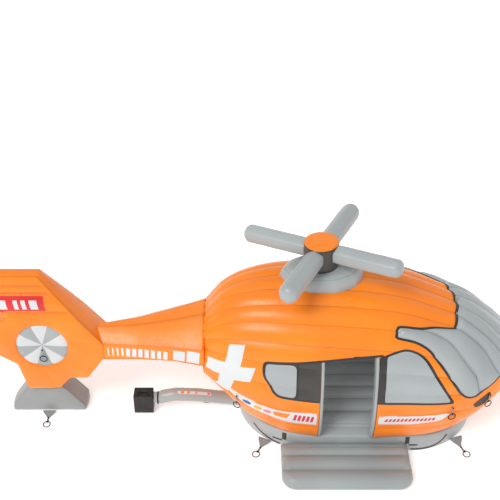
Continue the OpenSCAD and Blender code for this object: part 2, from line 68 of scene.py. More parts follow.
def smoothStep(a, b, x):
    t = min(max((x - a) / (b - a), 0.0), 1.0)
    return t * t * (3 - 2 * t)


def arch(t):
    # Height of a tube between its seams, which lie at t = 0 and t = 1
    return 1 - (2 * t - 1) ** 2


def newMaterial(name):
    material = bpy.data.materials.new(name)
    material.use_nodes = True
    tree = material.node_tree
    place = addNode(tree, "ShaderNodeTexCoord").outputs["Object"]
    return material, tree, tree.nodes["Principled BSDF"], place


# Coated PVC tarpaulin, calendered and hot-air taped: a satin skin with a faint scrim under it,
# small pulls along the seams and a slow drift of tone between sheets.
fabricLook = {
    "driftScale": 0.9,      # tone drift, about one change a metre
    "pullScale": 7.0,       # pulls in the fabric, about 14 cm long
    "pullDepth": 0.010,
    "scrimPitch": 0.008,    # threads are 1 mm apart, drawn 8 mm apart so that they show close up
    "scrimDepth": 0.0004,
    "seamShade": 0.42,      # how far a sewn seam darkens: painted shade of its crease, with some dirt
}


def coatedFabric(name, hexColour, hexShade, roughness=0.36, coat=0.12):
    material, tree, shader, place = newMaterial(name)
    drift = addNode(tree, "ShaderNodeTexNoise", {"Scale": fabricLook["driftScale"], "Detail": 3.0},
                    {"Vector": place})
    driftRange = addNode(tree, "ShaderNodeMapRange", {"From Min": 0.35, "From Max": 0.65},
                         {"Value": drift.outputs["Fac"]})
    tone = addNode(tree, "ShaderNodeMix", {"data_type": "RGBA", 6: toLinear(hexColour), 7: toLinear(hexShade)},
                   {0: driftRange.outputs["Result"]})
    # Painted shade and dirt: the colour darkens along the seams, where their creases fall into shade
    seam = addNode(tree, "ShaderNodeAttribute", {"attribute_name": "seam"})
    seamShadeAndDirtAmount = addNode(tree, "ShaderNodeMath", {"operation": "MULTIPLY", 1: fabricLook["seamShade"]},
                         {0: seam.outputs["Fac"]})
    seamShadeAndDirtTone = tuple(c * 0.45 for c in toLinear(hexShade)[:3]) + (1.0,)
    colour = addNode(tree, "ShaderNodeMix", {"data_type": "RGBA", 7: seamShadeAndDirtTone},
                     {0: seamShadeAndDirtAmount.outputs[0], 6: tone.outputs[2]})
    scuff = addNode(tree, "ShaderNodeTexNoise", {"Scale": 14.0, "Detail": 5.0, "Roughness": 0.65},
                    {"Vector": place})
    gloss = addNode(tree, "ShaderNodeMapRange", {"From Min": 0.3, "From Max": 0.7, "To Min": roughness - 0.05,
                                                 "To Max": roughness + 0.09}, {"Value": scuff.outputs["Fac"]})
    pulls = addNode(tree, "ShaderNodeTexNoise",
                    {"Scale": fabricLook["pullScale"], "Detail": 2.0, "Distortion": 0.6}, {"Vector": place})
    pullBump = addNode(tree, "ShaderNodeBump", {"Strength": 0.35, "Distance": fabricLook["pullDepth"]},
                       {"Height": pulls.outputs["Fac"]})
    threads = []
    for axis in ("X", "Z"):
        pitch = {"bands_direction": axis, "Scale": 0.314 / fabricLook["scrimPitch"]}
        threads.append(addNode(tree, "ShaderNodeTexWave", pitch, {"Vector": place}))
    scrim = addNode(tree, "ShaderNodeMath", {"operation": "MAXIMUM"},
                    {0: threads[0].outputs["Fac"], 1: threads[1].outputs["Fac"]})
    scrimBump = addNode(tree, "ShaderNodeBump", {"Strength": 0.25, "Distance": fabricLook["scrimDepth"]},
                        {"Height": scrim.outputs[0], "Normal": pullBump.outputs["Normal"]})
    tree.links.new(colour.outputs[2], shader.inputs["Base Color"])
    tree.links.new(gloss.outputs["Result"], shader.inputs["Roughness"])
    tree.links.new(scrimBump.outputs["Normal"], shader.inputs["Normal"])
    shader.inputs["Coat Weight"].default_value = coat
    shader.inputs["Coat Roughness"].default_value = 0.22
    shader.inputs["Sheen Weight"].default_value = 0.05
    return material


orangePvc = coatedFabric("orange PVC tarpaulin, calendered", "#FF8B00", "#FA8000")
greyPvc = coatedFabric("grey PVC tarpaulin, calendered", "#A9AFAF", "#A0A6A7")
matPvc = coatedFabric("grey PVC tarpaulin, scuffed by feet", "#9DA3A3", "#949A9A", 0.42, 0.05)
liningPvc = coatedFabric("pale grey PVC tarpaulin, inner side", "#B4B8B8", "#ACB0B0", 0.45, 0.05)
lightPvc = coatedFabric("light grey PVC tarpaulin, printed", "#A8AEAF", "#A0A6A7", 0.30, 0.2)
darkPvc = coatedFabric("dark grey PVC tarpaulin, calendered", "#36322F", "#3F3B37", 0.40)
blackPvc = coatedFabric("black PVC tape, hot-air welded", "#252220", "#2C2927", 0.42)
whitePvc = coatedFabric("white PVC tarpaulin, calendered", "#DDE0E1", "#D4D7D9")
redPvc = coatedFabric("red PVC tarpaulin, screen printed", "#E0262B", "#D61E26")
amberPvc = coatedFabric("amber PVC patch, welded", "#F2B33A", "#EBA52C")
bluePvc = coatedFabric("blue PVC patch, welded", "#5566A8", "#4C5C9C")
rosePvc = coatedFabric("rose PVC patch, welded", "#E78A9A", "#DE7C8E")


# Moulded ABS with a spark-eroded grain: a dull black that breaks up its highlights.
def mouldedPlastic(name, hexColour, roughness, grainMm=1.2, grainDepth=0.0003):
    material, tree, shader, place = newMaterial(name)
    grain = addNode(tree, "ShaderNodeTexNoise", {"Scale": 1000 / grainMm / 4, "Detail": 2.0},
                    {"Vector": place})
    dust = addNode(tree, "ShaderNodeTexNoise", {"Scale": 9.0, "Detail": 4.0}, {"Vector": place})
    dustRange = addNode(tree, "ShaderNodeMapRange", {"From Min": 0.45, "From Max": 0.75, "To Max": 0.12},
                        {"Value": dust.outputs["Fac"]})
    colour = addNode(tree, "ShaderNodeMix", {"data_type": "RGBA", 6: toLinear(hexColour), 7: toLinear("#6E6A64")},
                     {0: dustRange.outputs["Result"]})
    gloss = addNode(tree, "ShaderNodeMapRange", {"To Min": roughness - 0.06, "To Max": roughness + 0.08},
                    {"Value": dust.outputs["Fac"]})
    bump = addNode(tree, "ShaderNodeBump", {"Strength": 0.5, "Distance": grainDepth},
                   {"Height": grain.outputs["Fac"]})
    tree.links.new(colour.outputs[2], shader.inputs["Base Color"])
    tree.links.new(gloss.outputs["Result"], shader.inputs["Roughness"])
    tree.links.new(bump.outputs["Normal"], shader.inputs["Normal"])
    return material


# Plated or oxidised steel and cast aluminium: fine brushing or sand texture under a thin film.
def worksMetal(name, hexColour, hexWorn, roughness, streak=(400.0, 400.0, 30.0)):
    material, tree, shader, place = newMaterial(name)
    stretched = addNode(tree, "ShaderNodeMapping", {"Scale": streak}, {"Vector": place})
    lines = addNode(tree, "ShaderNodeTexNoise", {"Scale": 1.0, "Detail": 3.0},
                    {"Vector": stretched.outputs["Vector"]})
    wear = addNode(tree, "ShaderNodeTexNoise", {"Scale": 45.0, "Detail": 4.0}, {"Vector": place})
    wearRange = addNode(tree, "ShaderNodeMapRange", {"From Min": 0.45, "From Max": 0.7},
                        {"Value": wear.outputs["Fac"]})
    colour = addNode(tree, "ShaderNodeMix", {"data_type": "RGBA", 6: toLinear(hexColour), 7: toLinear(hexWorn)},
                     {0: wearRange.outputs["Result"]})
    gloss = addNode(tree, "ShaderNodeMapRange", {"To Min": roughness - 0.07, "To Max": roughness + 0.1},
                    {"Value": lines.outputs["Fac"]})
    bump = addNode(tree, "ShaderNodeBump", {"Strength": 0.3, "Distance": 0.0003},
                   {"Height": lines.outputs["Fac"]})
    tree.links.new(colour.outputs[2], shader.inputs["Base Color"])
    tree.links.new(gloss.outputs["Result"], shader.inputs["Roughness"])
    tree.links.new(bump.outputs["Normal"], shader.inputs["Normal"])
    shader.inputs["Metallic"].default_value = 1.0
    return material


# Woven polyester webbing: ribs across the strap, matt.
def wovenWebbing(name, hexColour, hexShade, ribMm=6.0):
    material, tree, shader, place = newMaterial(name)
    ribs = [addNode(tree, "ShaderNodeTexWave", {"bands_direction": axis, "Scale": 314 / ribMm}, {"Vector": place})
            for axis in ("X", "Y", "Z")]
    first = addNode(tree, "ShaderNodeMath", {"operation": "MAXIMUM"},
                    {0: ribs[0].outputs["Fac"], 1: ribs[1].outputs["Fac"]})
    weave = addNode(tree, "ShaderNodeMath", {"operation": "MULTIPLY"},
                    {0: first.outputs[0], 1: ribs[2].outputs["Fac"]})
    colour = addNode(tree, "ShaderNodeMix", {"data_type": "RGBA", 6: toLinear(hexShade), 7: toLinear(hexColour)},
                     {0: weave.outputs[0]})
    bump = addNode(tree, "ShaderNodeBump", {"Strength": 0.5, "Distance": 0.0008}, {"Height": weave.outputs[0]})
    tree.links.new(colour.outputs[2], shader.inputs["Base Color"])
    tree.links.new(bump.outputs["Normal"], shader.inputs["Normal"])
    shader.inputs["Roughness"].default_value = 0.8
    shader.inputs["Sheen Weight"].default_value = 0.2
    return material


blackAbs = mouldedPlastic("black ABS, moulded with a spark grain", "#161617", 0.46)
darkNylon = mouldedPlastic("dark nylon, glass filled and moulded", "#2A2A2B", 0.5)
redAbs = mouldedPlastic("red ABS, moulded and polished", "#C41A17", 0.25, 0.8, 0.0001)
darkRubber = mouldedPlastic("black rubber, pressed", "#1A1918", 0.7, 2.0)
oxideSteel = worksMetal("steel ring, black oxide", "#1A1B1D", "#333437", 0.5)
blackSteel = worksMetal("steel rivet, black oxide", "#1E1E20", "#3B3B3D", 0.45)
zincSteel = worksMetal("steel, zinc plated and brushed", "#A5A8AB", "#8C8F92", 0.34)
castAlloy = worksMetal("aluminium, sand cast", "#9A9C9E", "#86888A", 0.5, (120.0, 120.0, 120.0))
greyWebbing = wovenWebbing("grey polyester webbing, woven", "#9DA1A1", "#7F8383")
blackWebbing = wovenWebbing("black polyester webbing, woven", "#1D1C1C", "#121212")
print("materials: made")


def makeMesh(name, points, faces, looks, faceLook=None, sharp=None, seamPoints=None, smooth=True, recalc=True):
    mesh = bpy.data.meshes.new(name)
    mesh.from_pydata([tuple(p) for p in points], [], faces)
    for look in looks:
        mesh.materials.append(look)
    if faceLook:
        mesh.polygons.foreach_set("material_index", faceLook)
    mesh.polygons.foreach_set("use_smooth", [smooth] * len(mesh.polygons))
    # The seam mask drives the painted seam shade and dirt in the fabrics
    if seamPoints:
        values = np.zeros(len(points), np.float32)
        values[list(seamPoints)] = 1.0
        mesh.attributes.new("seam", "FLOAT", "POINT").data.foreach_set("value", values)
    if sharp:
        flags = [tuple(sorted(e.vertices)) in sharp for e in mesh.edges]
        attribute = mesh.attributes.get("sharp_edge") or mesh.attributes.new("sharp_edge", "BOOLEAN", "EDGE")
        attribute.data.foreach_set("value", flags)
    if recalc:
        work = bmesh.new()
        work.from_mesh(mesh)
        bmesh.ops.remove_doubles(work, verts=work.verts, dist=0.00002)
        bmesh.ops.recalc_face_normals(work, faces=work.faces)
        work.to_mesh(mesh)
        work.free()
    mesh.validate()
    piece = bpy.data.objects.new(name, mesh)
    bpy.context.scene.collection.objects.link(piece)
    return piece


def tubeFaces(rows, around, start=0):
    # Side faces of a tube made of rows of points
    faces = []
    for i in range(rows - 1):
        low, high = start + i * around, start + (i + 1) * around
        for j in range(around):
            k = (j + 1) % around
            faces.append((low + j, low + k, high + k, high + j))
    return faces


def endFaces(rows, around, start=0):
    last = start + (rows - 1) * around
    return [tuple(start + j for j in range(around - 1, -1, -1)), tuple(last + j for j in range(around))]


def borderLoop(count, n):
    # Points round the rim of a sheet of count + 1 columns with n points each
    loop = [i * n for i in range(count)] + [count * n + j for j in range(n - 1)]
    return loop + [i * n + n - 1 for i in range(count, 0, -1)] + [j for j in range(n - 1, 0, -1)]


def fit(piece, slot, *replaced, fill=None):
    # Every piece of the castle rides on its one body
    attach(piece, "castle")
    if replaced:
        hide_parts(*replaced)
    return piece


# Stations: x, half width, top, waist height, bottom, half width at the bottom
hull = {
    "stations": [
        (-2.95, 0.73, 2.38, 1.58, 1.18, 0.42), (-2.60, 1.00, 2.80, 1.38, 0.93, 0.54),
        (-2.10, 1.24, 3.05, 1.20, 0.48, 0.80), (-1.40, 1.42, 3.15, 1.12, 0.40, 1.22),
        (-0.40, 1.50, 3.13, 1.08, 0.42, 1.36), (0.60, 1.50, 2.98, 1.08, 0.42, 1.36),
        (1.40, 1.44, 2.67, 1.08, 0.44, 1.24), (2.00, 1.28, 2.37, 1.14, 0.58, 0.92),
        (2.45, 1.04, 1.995, 1.38, 0.965, 0.56), (2.75, 0.72, 1.69, 1.46, 1.21, 0.32),
        (2.90, 0.36, 1.57, 1.51, 1.36, 0.14),
    ],
    "waist": 0.2,           # share of the way round at the waist
    "roundness": 2 / 2.2,
    "wall": 0.2,            # thickness of a chamber
    "eave": 0.315,
    "sill": 0.25,
    "noseEnd": 2.95,        # the rounded tip past the last station
    "roofTubes": 7,         # tubes from the waist to the ridge
    "tubeDepth": 0.078,     # crown of a tube over its seams, as a share of its width
    "frontDepth": 0.115,    # the same for the roof tubes that end at the windscreen
    "underScreen": 0.02,    # the same under the windscreen panel
    "girth": 10.0,          # metres to one share, for laying out panels
}
seamShares = [0.0, 0.1] + [blend(hull["waist"], 0.5, k / hull["roofTubes"]) for k in range(hull["roofTubes"] + 1)]


@lru_cache(maxsize=None)
def stationAt(x):
    rows = hull["stations"]
    last = rows[-1]
    if x > last[0]:
        t = min((x - last[0]) / (hull["noseEnd"] - last[0]), 1.0)
        wide = math.sqrt(max(1 - t ** 2.4, 0.0))
        top, low = blend(last[3], last[2], wide), blend(last[3], last[4], wide)
        return (last[1] * wide, top, last[3], low, last[5] * wide)
    i = 0
    while i < len(rows) - 2 and x >= rows[i + 1][0]:
        i += 1
    a, b = rows[i], rows[i + 1]
    before, after = rows[max(i - 1, 0)], rows[min(i + 2, len(rows) - 1)]
    h = b[0] - a[0]
    t = (x - a[0]) / h
    values = []
    for c in range(1, 6):
        startSlope = (b[c] - before[c]) / (b[0] - before[0])
        endSlope = (after[c] - a[c]) / (after[0] - a[0])
        values.append((2 * t ** 3 - 3 * t * t + 1) * a[c] + (t ** 3 - 2 * t * t + t) * h * startSlope
                      + (3 * t * t - 2 * t ** 3) * b[c] + (t ** 3 - t * t) * h * endSlope)
    return tuple(values)


def hullPoint(x, s, inset=0.0):
    width, top, waist, low, lowWidth = stationAt(x)
    width -= inset
    top -= inset
    lowWidth -= inset
    q = min(s, 1 - s)
    side = -1.0 if s <= 0.5 else 1.0
    if q < hull["waist"]:
        t = q / hull["waist"]
        return Vector((x, side * (width - (width - lowWidth) * (1 - t) ** 2), low + (waist - low) * t))
    a = math.pi / 2 * (q - hull["waist"]) / (0.5 - hull["waist"])
    k = hull["roundness"]
    y = side * width * max(math.cos(a), 0.0) ** k
    return Vector((x, y, waist + (top - waist) * max(math.sin(a), 0.0) ** k))


def hullNormal(x, s, inset=0.0):
    dx, ds = 0.012, 0.002
    along = hullPoint(min(x + dx, hull["noseEnd"] - 0.001), s, inset) - hullPoint(x - dx, s, inset)
    lowShare, highShare = s - ds, s + ds
    if s < 0.5 < highShare or lowShare < 0.5 < s or s == 0.5:
        return Vector((0, 0, 1)) if abs(along.x) < 1e-6 else Vector((-along.z, 0, along.x)).normalized()
    across = hullPoint(x, highShare, inset) - hullPoint(x, lowShare, inset)
    normal = along.cross(across)
    if normal.length < 1e-9:
        return Vector((1, 0, 0))
    return normal.normalized()


@lru_cache(maxsize=None)
def tubeWidth(x, index):
    return (hullPoint(x, seamShares[index + 1]) - hullPoint(x, seamShares[index])).length


def tubeOf(q):
    index = 0
    while index < len(seamShares) - 2 and q > seamShares[index + 1]:
        index += 1
    a, b = seamShares[index], seamShares[index + 1]
    return index, min(max((q - a) / (b - a), 0.0), 1.0)


doorway = {"middle": -0.355, "clear": 0.89, "post": 0.1, "bead": 0.066, "screen": 1.65, "plug": 2.3, "rear": -2.95}
doorRear = doorway["middle"] - doorway["clear"] / 2
doorFront = doorway["middle"] + doorway["clear"] / 2


def skinHeight(x, s):
    # How far a tube stands out from the plain hull surface
    q = min(s, 1 - s)
    index, t = tubeOf(q)
    share = blend(hull["tubeDepth"], hull["frontDepth"], smoothStep(0.5, 1.5, x))
    share = blend(share, hull["underScreen"], smoothStep(doorway["screen"], doorway["screen"] + 0.08, x))
    if index < 2:
        share = min(share, hull["tubeDepth"]) * 0.75
    depth = share * tubeWidth(round(x, 3), index)
    crown = arch(t)
    near = min(t, 1 - t)
    seamNumber = round(q / 0.01)
    pull = noise.noise(Vector((x * 9.0, seamNumber * 0.05, s * 2.0))) * math.exp(-near / 0.16) * 0.16 * depth
    slow = noise.noise(Vector((x * 1.7, s * 16.0, 4.0))) * 0.006
    height = depth * (crown - 0.82) + pull + slow
    if s < hull["eave"]:
        fromDoor = min(abs(x - doorRear + doorway["bead"]), abs(x - doorFront - doorway["bead"]))
        height *= smoothStep(0.0, 0.16, fromDoor)
    return height


def skinPoint(x, s, inset=0.0, lift=0.0):
    height = skinHeight(x, s)
    if inset:
        height = -height
    return hullPoint(x, s, inset) + hullNormal(x, s, inset) * (height + lift)


tubeSteps = (0.05, 0.14, 0.26, 0.38, 0.5, 0.62, 0.74, 0.86, 0.95)


def shareRows(s0, s1):
    seams = sorted(set([round(v, 6) for v in seamShares] + [round(1 - v, 6) for v in seamShares]))
    rows = []
    for a, b in zip(seams, seams[1:]):
        rows.append(a)
        rows += [blend(a, b, t) for t in tubeSteps]
    rows.append(seams[-1])
    inside = [r for r in rows if s0 + 0.0015 < r < s1 - 0.0015]
    return [s0] + inside + [s1], set(seams)


def skinSlab(x0, x1, s0, s1, step=0.05):
    # A chamber: outer skin, inner skin and the rim between them
    rows, seams = shareRows(s0, s1)
    count = max(2, math.ceil((x1 - x0) / step))
    columns = [round(blend(x0, x1, i / count), 4) for i in range(count + 1)]
    points, faces, sharp, seamPoints = [], [], set(), set()
    n = len(rows)
    for inset in (0.0, hull["wall"]):
        for x in columns:
            points += [skinPoint(x, s, inset) for s in rows]
    size = len(columns) * n
    for layer in (0, 1):
        o = layer * size
        for i in range(count):
            for j in range(n - 1):
                a = o + i * n + j
                faces.append((a, a + n, a + n + 1, a + 1) if layer == 0 else (a, a + 1, a + n + 1, a + n))
        for j, s in enumerate(rows):
            if round(s, 6) in seams:
                for i in range(len(columns)):
                    seamPoints.add(o + i * n + j)
                    if i < count:
                        sharp.add((o + i * n + j, o + (i + 1) * n + j))
    border = borderLoop(count, n)
    for k, a in enumerate(border):
        b = border[(k + 1) % len(border)]
        faces.append((a, a + size, b + size, b))
        sharp |= {tuple(sorted((a, b))), tuple(sorted((a + size, b + size)))}
    return points, faces, sharp, seamPoints


def joinParts(parts):
    points, faces, sharp, seamPoints = [], [], set(), set()
    for partPoints, partFaces, partSharp, partSeams in parts:
        o = len(points)
        points += partPoints
        faces += [tuple(v + o for v in f) for f in partFaces]
        sharp |= {(a + o, b + o) for a, b in partSharp}
        seamPoints |= {v + o for v in partSeams}
    return points, faces, sharp, seamPoints


def bottomSlab(x0, x1, thick, narrower=0.0):
    # Crowned panel that closes the underside between the two bottom edges
    columns = [round(blend(x0, x1, i / 14), 4) for i in range(15)]
    rows = [k / 12 for k in range(13)]
    points, faces, sharp = [], [], set()
    for level in (0, 1):
        for x in columns:
            low = stationAt(x)[3]
            half = stationAt(x)[4] - narrower
            for t in rows:
                crown = arch(t)
                z = low + (thick if level else -0.035 * crown * min(half * 2, 1))
                points.append(Vector((x, blend(-half, half, t), z)))
    n, size = len(rows), len(columns) * len(rows)
    for level in (0, 1):
        for i in range(len(columns) - 1):
            for j in range(n - 1):
                a = level * size + i * n + j
                faces.append((a, a + 1, a + n + 1, a + n) if level == 0 else (a, a + n, a + n + 1, a + 1))
    border = borderLoop(len(columns) - 1, n)
    for k, a in enumerate(border):
        b = border[(k + 1) % len(border)]
        faces.append((a, b, b + size, a + size))
        sharp.add(tuple(sorted((a, b))))
    return points, faces, sharp, set()


eave, sill = hull["eave"], hull["sill"]

hullPieces = [
    ("wallNearRear", ["wall_near_rear"], orangePvc, "pvc_orange",
     [(doorway["rear"], doorRear - doorway["bead"], 0.0, eave)]),
    ("wallNearFront", ["wall_near_front"], orangePvc, "pvc_orange",
     [(doorFront + doorway["bead"], doorway["screen"], 0.0, eave)]),
    ("wallFar", ["wall_far"], orangePvc, "pvc_orange", [(doorway["rear"], doorway["screen"], 1 - eave, 1.0)]),
    ("noseWalls", ["nose_walls"], orangePvc, "pvc_orange",
     [(doorway["screen"], doorway["plug"], 0.0, sill), (doorway["screen"], doorway["plug"], 1 - sill, 1.0)]),
    ("roofTubes", ["roof_rear", "roof_front"], orangePvc, "pvc_orange",
     [(doorway["rear"], doorway["screen"], eave, 1 - eave)]),
    ("windscreen", ["windscreen_top"], greyPvc, "pvc_grey", [(doorway["screen"], doorway["plug"], sill, 1 - sill)]),
]
for name, replaced, look, slotName, spans in hullPieces:
    slabs = [skinSlab(*span) for span in spans]
    points, faces, sharp, seamPoints = joinParts(slabs)
    # The inner skins are the second half of each slab's points
    lining = [int(min(f) >= len(slab[0]) // 2) for slab in slabs for f in slab[1]]
    piece = makeMesh(name, points, faces, [look, liningPvc], lining, sharp, seamPoints, recalc=False)
    fit(piece, slotName, *replaced, fill=1.0)
print("hull: walls, roof and windscreen made")


def noseColumns():
    tip = [2.9 + 0.05 * math.sin(math.pi / 2 * k / 8) for k in range(1, 9)]
    return [round(blend(doorway["plug"], 2.9, k / 14), 4) for k in range(15)] + [round(v, 5) for v in tip]


def noseSkin(shares):
    columns = noseColumns()
    points, faces, sharp, seamPoints = [], [], set(), set()
    seams = {round(v, 6) for v in seamShares} | {round(1 - v, 6) for v in seamShares}
    n = len(shares)
    for x in columns:
        points += [skinPoint(x, s) if x < 2.949 else Vector((x, 0, stationAt(2.9)[2])) for s in shares]
    for i in range(len(columns) - 1):
        for j in range(n - 1):
            a = i * n + j
            faces.append((a, a + n, a + n + 1, a + 1))
    for j, s in enumerate(shares):
        if round(s, 6) in seams:
            seamPoints |= {i * n + j for i in range(len(columns) - 3)}
            sharp |= {(i * n + j, (i + 1) * n + j) for i in range(len(columns) - 3)}
    return points, faces, sharp, seamPoints


screenRows, _ = shareRows(sill, 1 - sill)
points, faces, sharp, seamPoints = noseSkin(screenRows)
fit(makeMesh("windscreenNose", points, faces, [greyPvc], None, sharp, seamPoints, recalc=False), "pvc_grey",
    "windscreen_nose", fill=1.0)
lowNear, _ = shareRows(0.0, sill)
lowFar, _ = shareRows(1 - sill, 1.0)
underNose = []
for x in noseColumns():
    low = skinPoint(min(x, 2.949), 0.0)
    half = -low.y if x < 2.949 else 0.0
    underNose.append([Vector((x, half * (2 * k / 8 - 1), low.z - 0.02 * arch(k / 8))) for k in range(9)])
strip = [p for row in underNose for p in row]
stripFaces = [(i * 9 + j, i * 9 + j + 1, (i + 1) * 9 + j + 1, (i + 1) * 9 + j)
              for i in range(len(underNose) - 1) for j in range(8)]
underside = (strip, stripFaces, set(), set())
points, faces, sharp, seamPoints = joinParts([noseSkin(lowNear), noseSkin(lowFar), underside])
fit(makeMesh("noseCushion", points, faces, [orangePvc], None, sharp, seamPoints, recalc=False), "pvc_orange",
    "nose_cushion", fill=1.0)

points, faces, sharp, _ = joinParts([bottomSlab(-2.94, -1.96, 0.15, 0.2), bottomSlab(1.54, 2.3, 0.15, 0.2)])
fit(makeMesh("bellyPanels", points, faces, [orangePvc], None, sharp), "pvc_orange", "belly_panels", fill=1.0)


# Door posts: a slim tube from the sill to the eave, round on its outer face
def doorPost(name, node, x0, x1):
    rows, _ = shareRows(0.0, eave)
    radius = (x1 - x0) / 2
    around = []
    for k in range(24):
        a = 2 * math.pi * k / 24
        cx, cy = math.cos(a), math.sin(a)
        # superellipse section: half width by half the wall thickness
        deep = abs(cy) ** 0.6 * math.copysign(hull["wall"] / 2, cy)
        around.append((abs(cx) ** 0.6 * math.copysign(radius, cx), deep))
    middle = (x0 + x1) / 2
    points = []
    for s in rows:
        for ox, depth in around:
            inset = hull["wall"] / 2 - depth
            points.append(hullPoint(middle, s) - hullNormal(middle, s) * inset + Vector((ox, 0, 0)))
    faces = tubeFaces(len(rows), len(around)) + endFaces(len(rows), len(around))
    fit(makeMesh(name, points, faces, [greyPvc]), "pvc_grey", node, fill=1.0)


doorPost("doorPostRear", "door_post_rear", doorRear - doorway["bead"], doorRear + 0.004)
doorPost("doorPostFront", "door_post_front", doorFront - 0.004, doorFront + doorway["bead"])
print("hull: nose, belly and door posts made")


def roundedOutline(corners, mirror=False):
    # corners: (x, share, radius); a radius of 0 leaves a sharp corner
    flat = [Vector((c[0], c[1] * hull["girth"])) for c in corners]
    loop = []
    for i, corner in enumerate(corners):
        p, before, after = flat[i], flat[i - 1], flat[(i + 1) % len(flat)]
        radius = corner[2] if len(corner) > 2 else 0.0
        if not radius:
            loop.append(p)
            continue
        d1, d2 = before - p, after - p
        reach1, reach2 = min(radius, d1.length * 0.49), min(radius, d2.length * 0.49)
        start, end = p + d1.normalized() * reach1, p + d2.normalized() * reach2
        for k in range(7):
            t = k / 6
            loop.append(start * (1 - t) ** 2 + p * 2 * t * (1 - t) + end * t * t)
    return loop


def ribbonOutline(path, width):
    # Closed outline of a band of that width along an open path of flat points
    left, right = [], []
    for i, p in enumerate(path):
        before, after = path[max(i - 1, 0)], path[min(i + 1, len(path) - 1)]
        a = (p - before).normalized() if (p - before).length > 1e-9 else None
        b = (after - p).normalized() if (after - p).length > 1e-9 else None
        a, b = a or b, b or a
        normal = Vector((-(a + b).y, (a + b).x)).normalized()
        reach = width / 2 / max(normal.dot(Vector((-a.y, a.x))), 0.5)
        left.append(p + normal * reach)
        right.append(p - normal * reach)
    return left + right[::-1]


def insideLoop(points, loop):
    px, py = points[:, 0], points[:, 1]
    odd = np.zeros(len(points), bool)
    for i in range(len(loop)):
        (x1, y1), (x2, y2) = loop[i - 1], loop[i]
        crosses = (y1 > py) != (y2 > py)
        if y1 != y2:
            odd ^= crosses & (px < (x2 - x1) * (py - y1) / (y2 - y1) + x1)
    return odd


def loopDistance(points, loop):
    best = np.full(len(points), 1e9)
    for i in range(len(loop)):
        a, b = loop[i - 1], loop[i]
        d = b - a
        t = np.clip(((points - a) @ d) / max(float(d @ d), 1e-12), 0, 1)
        best = np.minimum(best, np.linalg.norm(points - a - t[:, None] * d, axis=1))
    return best


def fillPanel(outline, step, seamLines=(), rimRings=(), loops=()):
    # Triangles inside an outline, with rows of points along the seams and near the rim
    loop = []
    for i, b in enumerate(outline):
        a = outline[i - 1]
        cuts = {0.0}
        parts = max(1, math.ceil((b - a).length / step))
        cuts |= {k / parts for k in range(parts)}
        for v in seamLines:
            if (a.y - v) * (b.y - v) < 0:
                t = (v - a.y) / (b.y - a.y)
                cuts = {c for c in cuts if abs(c - t) * (b - a).length > step * 0.2 or c == 0.0}
                cuts.add(t)
        loop += [a.lerp(b, t) for t in sorted(cuts)]
    for p in loop:
        for v in seamLines:
            if abs(p.y - v) < 1e-6:
                p.y = v
    ring = np.array([tuple(p) for p in loop])
    low, high = ring.min(0), ring.max(0)
    xs = np.arange(low[0] - step / 2, high[0] + step, step)
    extra = []
    for v in seamLines:
        if low[1] < v < high[1]:
            extra += [(x, v) for x in xs]
    nearSeam = [v for v in seamLines if low[1] - step < v < high[1] + step]
    rows = [y for y in np.arange(low[1], high[1] + step, step)
            if all(abs(y - v) > step * 0.45 for v in nearSeam)]
    grid = np.array([(x + (0.5 * step if k % 2 else 0.0), y) for k, y in enumerate(rows) for x in xs] + extra)
    keep = insideLoop(grid, ring) & (loopDistance(grid, ring) > step * 0.4)
    if rimRings:
        keep &= ~(loopDistance(grid, ring) < max(rimRings) * 1.35)
    for inner in loops:
        keep &= loopDistance(grid, np.array(inner)) > step * 0.4
    grid = grid[keep]
    rimPoints = []
    for reach in rimRings:
        for i in range(len(ring)):
            a, b, c = ring[i - 1], ring[i], ring[(i + 1) % len(ring)]
            tangent = c - a
            normal = np.array((-tangent[1], tangent[0]))
            size = np.linalg.norm(normal)
            if size < 1e-9:
                continue
            for turn in (1, -1):
                q = b + turn * normal / size * reach
                rimPoints.append(q)
    if rimPoints:
        rimPoints = np.array(rimPoints)
        distance = loopDistance(rimPoints, ring)
        good = np.zeros(len(rimPoints), bool)
        for reach in rimRings:
            good |= np.abs(distance - reach) < reach * 0.04
        rimPoints = rimPoints[good & insideLoop(rimPoints, ring)]
        grid = np.vstack([grid, rimPoints]) if len(grid) else rimPoints
    points = [Vector(p) for p in ring] + [Vector(p) for p in grid]
    edges = [(i, (i + 1) % len(ring)) for i in range(len(ring))]
    for inner in loops:
        start = len(points)
        points += [Vector(p) for p in inner]
        edges += [(start + i, start + (i + 1) % len(inner)) for i in range(len(inner))]
    for v in seamLines:
        along = sorted((p.x, i) for i, p in enumerate(points) if abs(p.y - v) < 1e-7)
        for (xa, a), (xb, b) in zip(along, along[1:]):
            middle = np.array([((xa + xb) / 2, v)])
            if xb - xa > 1e-6 and insideLoop(middle, ring)[0]:
                edges.append((a, b))
    out, outEdges, triangles, *_ = delaunay_2d_cdt(points, edges, [], 0, 1e-7)
    flat = np.array([tuple(p) for p in out])
    centres = np.array([flat[list(f)].mean(0) for f in triangles])
    kept = insideLoop(centres, ring)
    triangles = [tuple(f) for f, k in zip(triangles, kept) if k]
    used = sorted({v for f in triangles for v in f})
    renumber = {v: i for i, v in enumerate(used)}
    triangles = [tuple(renumber[v] for v in f) for f in triangles]
    flat = flat[used]
    fixed = []
    for f in triangles:
        (ax, ay), (bx, by), (cx, cy) = flat[f[0]], flat[f[1]], flat[f[2]]
        area = (bx - ax) * (cy - ay) - (by - ay) * (cx - ax)
        if abs(area) > 1e-10:
            fixed.append(f if area > 0 else (f[0], f[2], f[1]))
    return flat, fixed, ring


def edgesOnSeams(flat, triangles, seams):
    edges = {tuple(sorted(e)) for f in triangles for e in ((f[0], f[1]), (f[1], f[2]), (f[2], f[0]))}
    return {(a, b) for a, b in edges
            if abs(flat[a][1] - flat[b][1]) < 1e-6 and any(abs(flat[a][1] - v) < 1e-6 for v in seams)}


